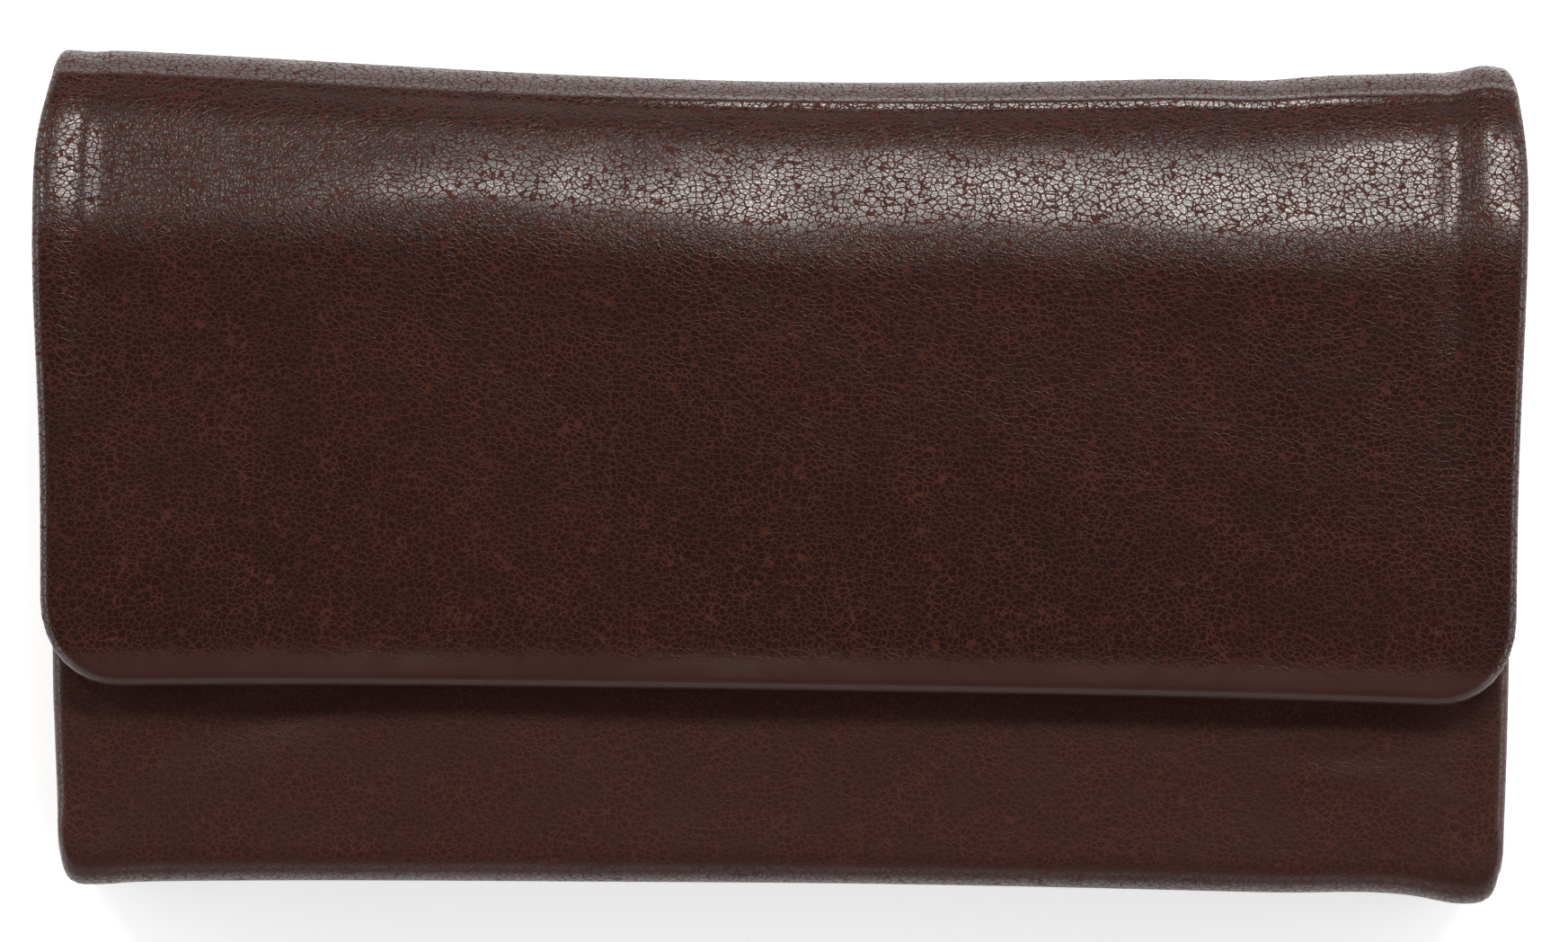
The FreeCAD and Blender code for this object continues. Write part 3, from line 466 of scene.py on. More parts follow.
def edge_distance(x, distance):
    """Distance from the cover's nearest edge, the rounded free corners included."""
    side = np.minimum(x + edge_at(LEFT_EDGE, distance), edge_at(RIGHT_EDGE, distance) - x)
    free = np.minimum(distance, COVER_END - distance)
    radius = np.where(distance < MID_BACK, 10.0, 5.0)
    inner_side, inner_free = radius - side, radius - free
    rounded = radius - np.hypot(np.maximum(inner_side, 0), np.maximum(inner_free, 0))
    return np.where((inner_side > 0) & (inner_free > 0), rounded, np.minimum(side, free))


def cover_top(x, distance):
    """Height of the leather's outer face above the flat development."""
    x, distance = np.broadcast_arrays(np.asarray(x, float), np.asarray(distance, float))
    near = edge_distance(x, distance)
    on_flap = smoothstep(FLAP_END + 4, FLAP_END - 8, distance)
    on_front = smoothstep(FRONT_START - 2, FRONT_START + 6, distance)
    padded = np.maximum(on_flap, on_front)
    bead = HEM_BEAD * bell(near, HEM_WIDTH * 0.45, 1.4) - HEM_VALLEY * bell(near, HEM_WIDTH + 1.0, 1.5)
    crown = 0.55 * smoothstep(3, 30, near) * on_flap + 0.3 * smoothstep(3, 16, near) * on_front
    inside = smoothstep(0.5, 6, near)
    lumps = (0.20 * ripples(x, distance, 46, 3) + 0.05 * ripples(x, distance, 13, 8)) * padded
    # a seam line presses in beside the right edge, the edge outside it stays rolled
    upper = smoothstep(20, 60, distance) * smoothstep(MID_TOP, TOP_SPINE_START - 4, distance)
    seam = 0.60 * bell(x, 83.8, 1.8) * upper + 0.30 * bell(x, -87, 1.6) * upper
    roll = 0.35 * bell(x, 88.4, 2.2) * upper
    # the top fold carries a thin ridge, sharpest over the middle and right
    pressed = 0.3 + 0.7 * smoothstep(-40, 0, x) - 0.4 * smoothstep(62, 80, x)
    ridge = 0.60 * bell(distance, RIDGE_AT, 0.8) * pressed
    # the front panel is dented where the flap's corner presses on it
    along = (x + 63) * 0.94 + (distance - DENT_START) * 0.34
    across = (distance - DENT_START) * 0.94 - (x + 63) * 0.34
    dent = 0.55 * bell(along, 0, 15) * bell(across, 0, 3.6) * on_front
    creased = 0.22 * ripples(x * 0.5, distance * 2.2, 15, 12) * bell(x, 72, 16)
    creased = creased * bell(distance, DENT_START, 7) * on_front
    return (bead * padded + crown + lumps * inside - seam + roll + ridge - dent + creased
            - 0.35 * padded)


def cover_bottom(x, distance):
    x, distance = np.broadcast_arrays(np.asarray(x, float), np.asarray(distance, float))
    near = edge_distance(x, distance)
    middle = thickness_between(distance)
    turned = np.maximum(middle, 2 * LEATHER)
    return -(middle + (turned - middle) * smoothstep(9, 7, near)) - 0.25 * smoothstep(9, 7, near)


def on_cover(x, distance, height):
    y, z, normal_y, normal_z = follow_cover(distance)
    return warp(x, y + normal_y * height, z + normal_z * height)


def left_edge(distance):
    return edge_at(LEFT_EDGE, distance)


def right_edge(distance):
    return edge_at(RIGHT_EDGE, distance)


def blend_fold(piece):
    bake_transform(piece)


def make_cover(material):
    plans = [
        ("cover_flap", "flap", 0.0, MID_TOP, 10.0, True, 112,
         ("flap_cover", "top_flap_fold", "top_spine_cover")),
        ("cover_back_upper", "upper", MID_TOP, MID_BACK, 0.0, False, 74,
         ("back_cover", "top_back_fold")),
        ("cover_back_lower", "lower", MID_BACK, MID_BOTTOM, 0.0, False, 74,
         ("bottom_back_fold", "bottom_spine_cover")),
        ("cover_front", "front", COVER_END, MID_BOTTOM, 5.0, True, 84,
         ("front_cover", "bottom_front_fold")),
    ]
    for name, fold, start, end, corner, free, rows, nodes in plans:
        fine = (RIDGE_AT - 2.6, RIDGE_AT + 2.6, 30) if fold == "flap" else None
        piece = build_sheet(name, on_cover, start, end, left_edge, right_edge, cover_top,
                            cover_bottom, corner=corner, free_start=free, free_end=False,
                            columns=200, rows=rows, rings=10, fine=fine)
        finish(piece, material, nodes, fold=fold)


# ---------------------------------------------------------------- linings
LINING = 0.45
LINING_GAP = 0.02
UNDER_HEM = 6.5


def lining_top(x, distance):
    return -thickness_between(distance) - LINING_GAP + 0 * x


def lining_bottom(x, distance):
    return lining_top(x, distance) - LINING


def narrower(edge, amount):
    return lambda distance: edge(distance) - amount


def make_linings(material):
    plans = [
        ("lining_flap", "flap", UNDER_HEM, MID_TOP, True, 64,
         ("flap_lining", "top_spine_lining")),
        ("lining_back_upper", "upper", MID_TOP, MID_BACK, False, 44, ("back_lining",)),
        ("lining_back_lower", "lower", MID_BACK, MID_BOTTOM, False, 44,
         ("bottom_spine_lining",)),
        ("lining_front", "front", COVER_END - UNDER_HEM, MID_BOTTOM, True, 50,
         ("front_lining",)),
    ]
    for name, fold, start, end, free, rows, nodes in plans:
        piece = build_sheet(name, on_cover, start, end, narrower(left_edge, UNDER_HEM),
                            narrower(right_edge, UNDER_HEM), lining_top, lining_bottom,
                            corner=4.0 if free else 0.0, free_start=free, free_end=False,
                            columns=90, rows=rows, rings=4)
        finish(piece, material, nodes, fold=fold)


# ---------------------------------------------------------------- stitching
STITCH_PITCH, STITCH_LENGTH, THREAD = 3.6, 2.7, 0.42
STITCH_SINK = 0.03


def unit_bead(around=8, along=6):
    """Points and faces of a small rounded grain, one unit long, wide and high."""
    points, faces = [(-0.5, 0, 0)], []
    for step in range(1, along):
        angle = math.pi * step / along
        for turn in range(around):
            side = math.tau * turn / around
            points.append((-0.5 * math.cos(angle), 0.5 * math.sin(angle) * math.cos(side),
                           0.5 * math.sin(angle) * math.sin(side)))
    points.append((0.5, 0, 0))
    last = len(points) - 1
    for turn in range(around):
        following = (turn + 1) % around
        faces.append((0, 1 + following, 1 + turn))
        base = 1 + (along - 2) * around
        faces.append((last, base + turn, base + following))
        for step in range(along - 2):
            base = 1 + step * around
            faces.append((base + turn, base + following, base + around + following,
                          base + around + turn))
    return np.array(points), faces


def resample(points, pitch):
    """Places and directions every pitch along a polyline in the flat plane."""
    points = np.array(points, float)
    lengths = np.hypot(*np.diff(points, axis=0).T)
    travelled = np.concatenate([[0], np.cumsum(lengths)])
    count = max(int(travelled[-1] / pitch), 1)
    wanted = (np.arange(count) + 0.5) * travelled[-1] / count

    def spots(shift):
        return np.stack([np.interp(wanted + shift, travelled, column) for column in points.T], 1)

    directions = spots(0.2) - spots(-0.2)
    return spots(0), directions / np.hypot(*directions.T)[:, None]


def stitch_rows(name, rows, place, height, side):
    """One mesh of rounded stitches along each row of (x, S) points.

    height(x, S) is the leather's face; side is 1 where the stitches stand up from it
    along the normal, and -1 where they hang below."""
    bead, bead_faces = unit_bead()
    all_points, all_faces, all_uvs = [], [], []
    for row in rows:
        places, directions = resample(row, STITCH_PITCH)
        for (x, distance), (step_x, step_s) in zip(places, directions):
            spot = np.array([x, x + step_x * 0.3, x]), np.array(
                [distance, distance + step_s * 0.3, distance])
            level = height(spot[0], spot[1]) + side * THREAD * 0.25
            level = level + np.array([0, 0, side * 0.2])
            corners = np.stack(place(spot[0], spot[1], level), 1)
            tangent = corners[1] - corners[0]
            tangent /= np.linalg.norm(tangent)
            upward = corners[2] - corners[0]
            upward -= tangent * upward.dot(tangent)
            upward /= np.linalg.norm(upward)
            across = np.cross(upward, tangent)
            local = (corners[0] + bead[:, :1] * STITCH_LENGTH * tangent
                     + bead[:, 1:2] * THREAD * 1.15 * across + bead[:, 2:] * THREAD * upward)
            base = sum(len(block) for block in all_points)
            all_points.append(local)
            all_faces += [tuple(base + index for index in face) for face in bead_faces]
            all_uvs.append(bead[:, :2] * [STITCH_LENGTH, THREAD * 3] + [x, distance])
    piece = add_mesh(name, np.concatenate(all_points), all_faces, np.concatenate(all_uvs))
    recalculate_normals(piece)
    return piece


def edge_row(start, end, inset, corner, free):
    """A row that keeps its distance from the cover's edge: up one side, round the free
    end and down the other, or two straight rows where both ends are cut."""
    sign = 1 if end > start else -1
    steps = np.linspace(0, abs(end - start), 60)
    if not free:
        distances = start + sign * steps
        return [list(zip(-(left_edge(distances) - inset), distances)),
                list(zip(right_edge(distances) - inset, distances))]
    steps = steps[steps > inset + corner]
    distances = start + sign * steps
    lefts = -(left_edge(distances) - inset)
    rights = right_edge(distances) - inset
    arc = [(corner * (1 - math.cos(angle)), start + sign * (inset + corner * (1 - math.sin(angle))))
           for angle in np.linspace(0, math.pi / 2, 7)]
    left_arc = [(lefts[0] + across, distance) for across, distance in arc]
    right_arc = [(rights[0] - across, distance) for across, distance in arc]
    return [list(zip(lefts, distances))[::-1] + left_arc + right_arc[::-1]
            + list(zip(rights, distances))]


def make_hem_stitching(material):
    plans = [("flap", 0.0, MID_TOP, 6.0, True), ("upper", MID_TOP, MID_BACK, 0, False),
             ("lower", MID_BACK, MID_BOTTOM, 0, False), ("front", COVER_END, MID_BOTTOM, 3.0, True)]
    for fold, start, end, corner, free in plans:
        rows = edge_row(start, end, 5.6, corner, free)
        piece = stitch_rows("hem_stitching_" + fold, rows, on_cover, cover_bottom, -1)
        finish(piece, material, (), fold=fold)


# ---------------------------------------------------------------- flat inner layers
def leaf_between(name, low, high, columns=60, rows=36, corner=1.0, lift=0.0):
    """A layer that fills the box from low to high, with rounded edges and a soft face.

    lift raises the middle of its upper edge a little, as worn pocket mouths do."""
    centre = (low[0] + high[0]) / 2
    half = (high[0] - low[0]) / 2
    thickness = high[2] - low[2]
    level = (low[2] + high[2]) / 2
    gap = min(0.03, thickness / 10)

    def place(x, distance, height):
        return warp(x + centre, distance, level + height)

    def mouth(x, distance):
        near_mouth = smoothstep(high[1] - 9, high[1], distance)
        return lift * near_mouth * np.cos(np.clip(x / half, -1, 1) * math.pi / 2)

    def top(x, distance):
        return thickness / 2 - gap + mouth(x, distance)

    def bottom(x, distance):
        return -thickness / 2 + gap + mouth(x, distance)

    width = same_everywhere(half)
    return build_sheet(name, place, low[1], high[1], width, width, top, bottom,
                       corner=corner, columns=columns, rows=rows, rings=6)


def make_layer(name, node, body, material, slot, **shape):
    piece = leaf_between(name, *box_mm(node), **shape)
    finish(piece, material, (node,), body)
    return piece

def stitch_layer(name, node, body, material, rows, side=1, replaced=()):
    """Stitches on a layer, rows given as (x, y) points from its own lower left corner."""
    low, high = box_mm(node)
    level = high[2] if side > 0 else low[2]
    moved = [[(low[0] + x, low[1] + y) for x, y in row] for row in rows]
    piece = stitch_rows(name, moved, warp, same_everywhere(level - side * STITCH_SINK), side)
    finish(piece, material, replaced, body)

def pocket_seam(width, height, inset=1.3):
    """A seam down one side of a pocket, along its foot and up the other side."""
    top = height - 2
    return [(inset, top), (inset, inset), (width - inset, inset), (width - inset, top)]

def make_card_slots(leather, thread):
    for side in ("left", "right"):
        for level in (1, 2, 3):
            make_layer("slot_leaf_%s_%d" % (side, level), "card_slot_%s_%d" % (side, level),
                       "back_panel", leather, "pocket_leather", corner=2.0, rows=40)
    for side in ("left", "right"):
        width, height = face_size("card_slot_%s_3" % side)
        replaced = ("card_slot_stitching",) if side == "left" else ()
        stitch_layer("slot_stitching_" + side, "card_slot_%s_3" % side, "back_panel", thread,
                     [pocket_seam(width, height)], replaced=replaced)
        for level in (1, 2, 3):
            node = "card_slot_%s_%d" % (side, level)
            mouth = face_size(node)[1] - 1.4
            stitch_layer("slot_edge_stitching_%s_%d" % (side, level), node, "back_panel",
                         thread, [[(2.5, mouth), (width - 2.5, mouth)]])

def make_flap_pockets(leather, thread):
    make_layer("flap_pocket_leaf", "flap_slip_pocket", "flap", leather, "pocket_leather",
               corner=2.0)
    stitch_layer("flap_pocket_stitching", "flap_slip_pocket", "flap", thread,
                 [pocket_seam(*face_size("flap_slip_pocket"))], side=-1)
    make_window_frame(leather, thread)

def make_window_film(material):
    make_layer("window_film", "flap_window_film", "flap", material, "clear_film",
               columns=24, rows=16)

def rounded_ring(low, high, grown, radius, level, steps):
    """Points round a rectangle that is grown on every side, with rounded corners."""
    middle = [(a + b) / 2 for a, b in zip(low, high)]
    reach = [(b - a) / 2 + grown - radius for a, b in zip(low, high)]
    points = []
    for quarter, (sign_x, sign_y) in enumerate(((1, 1), (-1, 1), (-1, -1), (1, -1))):
        for step in range(steps // 4):
            angle = math.pi / 2 * (quarter + step / (steps // 4))
            points.append((middle[0] + sign_x * reach[0] + radius * math.cos(angle),
                           middle[1] + sign_y * reach[1] + radius * math.sin(angle), level))
    return points

def make_window_frame(leather, thread):
    """The leather frame round the clear window: a flat ring with rounded edges."""
    low, high = box_mm("flap_window_frame")
    film_low, film_high = box_mm("flap_window_film")
    inner_low = [film_low[0] - 0.1, film_low[1] - 0.1]
    inner_high = [film_high[0] + 0.1, film_high[1] + 0.1]
    steps = 40
    edge, middle = (high[2] - low[2]) / 2, (high[2] + low[2]) / 2
    loops = []
    for from_low, from_high, side, radius in ((low[:2], high[:2], -1, 2.5),
                                              (inner_low, inner_high, 1, 3.0)):
        for angle in np.linspace(-side * math.pi / 2, side * math.pi / 2, 7):
            grown, level = side * edge * (1 - math.cos(angle)), middle + edge * math.sin(angle)
            loops.append(rounded_ring(from_low, from_high, grown, radius, level, steps))
    points = np.concatenate(loops)
    faces = []
    for row in range(len(loops)):
        following_row = (row + 1) % len(loops)
        for column in range(steps):
            following = (column + 1) % steps
            faces.append((row * steps + column, row * steps + following,
                          following_row * steps + following, following_row * steps + column))
    placed = np.stack(warp(points[:, 0], points[:, 1], points[:, 2]), 1)
    piece = add_mesh("window_frame_leather", placed, faces, points[:, :2])
    recalculate_normals(piece)
    finish(piece, leather, ("flap_window_frame",), "flap")
    width, height = face_size("flap_window_frame")
    border = inner_low[0] - low[0] - 1.6
    round_window = [(border, border), (width - border, border), (width - border, height - border),
                    (border, height - border), (border, border)]
    stitch_layer("window_stitching", "flap_window_frame", "flap", thread,
                 [pocket_seam(width, height), round_window], side=-1)

def make_front_pocket(leather, thread):
    make_layer("front_pocket_leaf", "front_slip_pocket", "front_panel", leather,
               "pocket_leather", columns=90, corner=2.0)
    width, height = face_size("front_slip_pocket")
    rows = [pocket_seam(width, height, 1.5), [(3, height - 1.5), (width - 3, height - 1.5)]]
    stitch_layer("front_pocket_seams", "front_slip_pocket", "front_panel", thread, rows,
                 side=-1, replaced=("front_pocket_stitching",))

# ---------------------------------------------------------------- banknote and coin pockets
CLOTH_FACES = (same_everywhere(0.2), same_everywhere(-0.2))

def make_pleat(node, side, material):
    """A side gusset: one strip of cloth with a soft crease pointing inwards."""
    low, high = box_mm(node)
    outer = high[0] if side > 0 else -low[0]
    depth = high[0] - low[0] - 0.5
    middle, half_height = (low[2] + high[2]) / 2, (high[2] - low[2]) / 2

    def place(across, distance, height):
        part = np.clip(across / half_height, -1, 1)
        inwards = depth * (1 - np.abs(part) ** 1.6) + 0.3
        x = outer - inwards + height
        return warp(side * x, distance, middle + part * (half_height - 0.05))

    width = same_everywhere(half_height)
    piece = build_sheet(node + "_cloth", place, low[1] + 0.2, high[1] - 0.2, width, width,
                        *CLOTH_FACES, columns=17, rows=40, rings=4)
    finish(piece, material, (node,), "back_panel")

def make_compartments(fabric, leather, thread):
    divider = make_layer("note_divider_cloth", "note_divider", "back_panel", fabric,
                         "lining_fabric", columns=90, rows=50, lift=0.25)
    low, high = box_mm("note_divider")
    binding = leaf_between("note_divider_binding",
                           [low[0] + 0.3, high[1] - 4.5, low[2] - 0.2],
                           [high[0] - 0.3, high[1] + 0.3, high[2] + 0.2],
                           columns=90, rows=10, corner=0.8)
    finish(binding, leather, (), "back_panel")
    width, height = face_size("note_divider")
    stitch_layer("note_binding_stitching", "note_divider", "back_panel", thread,
                 [[(2, height - 3.6), (width - 2, height - 3.6)]])
    for node in ("coin_pocket_rear_wall", "coin_pocket_front_wall"):
        wall = make_layer(node + "_cloth", node, "back_panel", fabric, "lining_fabric",
                          columns=80, rows=40)
    for node in ("note_gusset_bottom", "coin_gusset_bottom"):
        make_layer(node + "_cloth", node, "back_panel", fabric, "lining_fabric",
                   columns=80, rows=5, corner=0.0)
    for name in ("note_gusset", "coin_gusset"):
        make_pleat(name + "_left", -1, fabric)
        make_pleat(name + "_right", 1, fabric)

def make_zip_tape(node, sign, tape):
    """A woven tape, level beside the teeth and turned down inside the pocket's wall."""
    low, high = box_mm(node)
    outer, edge = (low[2], high[2]) if sign > 0 else (high[2], low[2])
    bend = 0.55
    level = high[1] - 0.25
    wall = outer + sign * 0.85
    flat_length = abs(edge - wall) - bend
    total = flat_length + bend * math.pi / 2 + (level - bend - low[1])

    def place(across, distance, height):
        travelled = across + total / 2
        angle = np.clip((travelled - flat_length) / bend, 0, math.pi / 2)
        down = np.maximum(travelled - flat_length - bend * math.pi / 2, 0)
        z = edge - sign * (np.minimum(travelled, flat_length) + bend * np.sin(angle)
                           + height * np.sin(angle))
        y = level - bend * (1 - np.cos(angle)) - down + height * np.cos(angle)
        return distance, y, z

    width = same_everywhere(total / 2)
    piece = build_sheet(node + "_cloth", place, low[0], high[0], width, width, *CLOTH_FACES,
                        columns=26, rows=120, rings=4)
    finish(piece, tape, (node,), "back_panel")

def make_end_tab(node, leather):
    low, high = box_mm(node)
    middle_x, middle_y = (low[0] + high[0]) / 2, (low[1] + high[1]) / 2

    def place(across, distance, height):
        return middle_x + across, middle_y + height, distance

    width = same_everywhere((high[0] - low[0]) / 2)
    piece = build_sheet(node + "_leather", place, low[2], high[2], width, width,
                        same_everywhere(0.3), same_everywhere(-0.3), corner=1.5, columns=24,
                        rows=16, rings=6)
    finish(piece, leather, (node,), "back_panel")

def make_zip(tape, leather, metal, slider_metal):
    make_zip_tape("zip_tape_rear", 1, tape)
    make_zip_tape("zip_tape_front", -1, tape)
    for side in ("left", "right"):
        make_end_tab("zip_end_tab_" + side, leather)
    for node, body, bevel, slot, material in (
        ("zip_slider", "slider", 0.22, "slider_metal", slider_metal),
        ("zip_pull_tab", "pull", 0.18, "slider_metal", slider_metal),
        ("zip_teeth_rear", "back_panel", 0.12, "zip_metal", metal),
        ("zip_teeth_front", "back_panel", 0.12, "zip_metal", metal),
        ("zip_bottom_stop", "back_panel", 0.2, "zip_metal", metal),
        ("zip_top_stop", "back_panel", 0.2, "zip_metal", metal),
    ):
        piece = bevelled_copy(node, bevel)
        piece.data.materials.clear()
        finish(piece, material, (node,), body)

def bevelled_copy(node, width):
    """A copy of a metal CAD node with its edges softened, to stand for it."""
    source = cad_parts[node]
    mesh = source.data.copy()
    piece = bpy.data.objects.new(node + "_metal", mesh)
    bpy.context.scene.collection.objects.link(piece)
    work = bmesh.new()
    work.from_mesh(mesh)
    bmesh.ops.remove_doubles(work, verts=work.verts, dist=0.00001)
    bmesh.ops.dissolve_limit(work, angle_limit=math.radians(4), verts=work.verts,
                             edges=work.edges)
    edges = [edge for edge in work.edges
             if len(edge.link_faces) == 2 and edge.calc_face_angle() > math.radians(30)]
    bmesh.ops.bevel(work, geom=edges, offset=width * MM, segments=2, profile=0.5,
                    affect="EDGES", clamp_overlap=True)
    work.to_mesh(mesh)
    work.free()
    mesh.polygons.foreach_set("use_smooth", [True] * len(mesh.polygons))
    mesh.set_sharp_from_angle(angle=math.radians(40))
    return piece


# ---------------------------------------------------------------- sealed padding
PAD_SWELL = 0.15
PAD_GAPS = (0.5, 0.5, 0.1)


def swell(piece, reach):
    """Lets a pad swell like a stuffed cushion, with its rim held, by at most reach."""
    mesh = piece.data
    rest = np.empty(len(mesh.vertices) * 3)
    mesh.vertices.foreach_get("co", rest)
    rest = rest.reshape(-1, 3)
    low, high = rest.min(0), rest.max(0)
    to_edge = np.minimum(rest - low, high - rest)[:, :2].min(1)
    held = [int(index) for index in np.where(to_edge < 1.5 * MM)[0]]
    piece.vertex_groups.new(name="rim").add(held, 1.0, "REPLACE")
    modifier = piece.modifiers.new("swell", "CLOTH")
    settings = modifier.settings
    settings.quality = 4
    settings.mass = 0.05
    settings.use_pressure = True
    settings.uniform_pressure_force = 4
    settings.effector_weights.gravity = 0
    settings.vertex_group_mass = "rim"
    modifier.collision_settings.use_collision = False
    modifier.point_cache.frame_start = 1
    modifier.point_cache.frame_end = 20
    for step in range(1, 21):
        bpy.context.scene.frame_set(step)
    settled = piece.evaluated_get(bpy.context.evaluated_depsgraph_get()).data
    moved = np.empty(len(settled.vertices) * 3)
    settled.vertices.foreach_get("co", moved)
    offset = moved.reshape(-1, 3) - rest
    length = np.linalg.norm(offset, axis=1)
    offset *= (np.minimum(length, reach * MM) / np.maximum(length, 1e-12))[:, None]
    piece.modifiers.remove(modifier)
    mesh.vertices.foreach_set("co", (rest + offset).ravel())
    mesh.update()
    piece.vertex_groups.clear()
    bpy.context.scene.frame_set(1)


def make_padding(material):
    for name, node, body in (("flap_foam", "flap_padding", "flap"),
                             ("front_foam", "front_padding", "front_panel")):
        low, high = box_mm(node)
        piece = leaf_between(name, [spot + gap for spot, gap in zip(low, PAD_GAPS)],
                             [spot - gap for spot, gap in zip(high, PAD_GAPS)],
                             rows=30, corner=4.0)
        swell(piece, PAD_SWELL)
        finish(piece, material, (node,), body)

# ---------------------------------------------------------------- materials
def new_material(name):
    """A material, its node tree and the sockets of its shader."""
    material = bpy.data.materials.new(name)
    material.use_nodes = True
    tree = material.node_tree
    return material, tree, tree.nodes["Principled BSDF"].inputs

def plug(tree, value, socket):
    """Links a socket to another one, or sets it to a number, vector or colour."""
    if isinstance(value, bpy.types.NodeSocket):
        tree.links.new(value, socket)
    elif value is not None:
        socket.default_value = (*value, 1) if socket.type == "RGBA" else value

def add_node(tree, kind, **settings):
    """A node with its inputs plugged and its other settings made, both by name."""
    node = tree.nodes.new(kind)
    for key, value in settings.items():
        if key in node.inputs:
            plug(tree, value, node.inputs[key])
        else:
            setattr(node, key, value)
    return node

def flat_coordinates(tree):
    return add_node(tree, "ShaderNodeUVMap", uv_map=UV_NAME).outputs["UV"]

def object_coordinates(tree):
    return tree.nodes.new("ShaderNodeTexCoord").outputs["Object"]

def part_of(tree, vector, axis):
    return add_node(tree, "ShaderNodeSeparateXYZ", Vector=vector).outputs[axis]

def mix_colours(tree, factor, first, second):
    node = add_node(tree, "ShaderNodeMix", data_type="RGBA")
    for spot, value in ((0, factor), (6, first), (7, second)):
        plug(tree, value, node.inputs[spot])
    return node.outputs[2]

def maths(tree, operation, *values, kind="ShaderNodeMath"):
    node = add_node(tree, kind, operation=operation)
    for value, socket in zip(values, node.inputs):
        plug(tree, value, socket)
    return node.outputs[0]

def vector_maths(tree, operation, first, second):
    return maths(tree, operation, first, second, kind="ShaderNodeVectorMath")

def ramp(tree, value, low, high, from_value=0.0, to_value=1.0):
    settings = {"Value": value, "From Min": low, "From Max": high, "To Min": from_value,
                "To Max": to_value}
    node = add_node(tree, "ShaderNodeMapRange", interpolation_type="SMOOTHSTEP", **settings)
    return node.outputs["Result"]

def noise(tree, coordinates, scale, detail=3.0, roughness=0.5, output="Fac"):
    node = add_node(tree, "ShaderNodeTexNoise", Vector=coordinates, Scale=scale, Detail=detail,
                    Roughness=roughness)
    return node.outputs[output]

def grain_cells(tree, coordinates, scale):
    """Distance from the creases between irregular grain cells."""
    node = add_node(tree, "ShaderNodeTexVoronoi", feature="DISTANCE_TO_EDGE",
                    Vector=coordinates, Scale=scale, Randomness=1.0)
    return node.outputs["Distance"]

def bent(tree, coordinates, scale, amount):
    """Coordinates shifted by noise, so that cells are never regular."""
    shift = noise(tree, coordinates, scale, 2.0, output="Color")
    centred = vector_maths(tree, "SUBTRACT", shift, (0.5, 0.5, 0.5))
    scaled = vector_maths(tree, "MULTIPLY", centred, (amount, amount, amount))
    return vector_maths(tree, "ADD", coordinates, scaled)

def stretched(tree, coordinates, factors):
    return vector_maths(tree, "MULTIPLY", coordinates, factors)

def bump(tree, shader, layers):
    """Chains bump layers, each a height in 0..1, a depth in metres and a strength."""
    normal = None
    for height, depth, strength in layers:
        normal = add_node(tree, "ShaderNodeBump", Strength=strength, Distance=depth,
                          Height=height, Normal=normal).outputs["Normal"]
    plug(tree, normal, shader["Normal"])

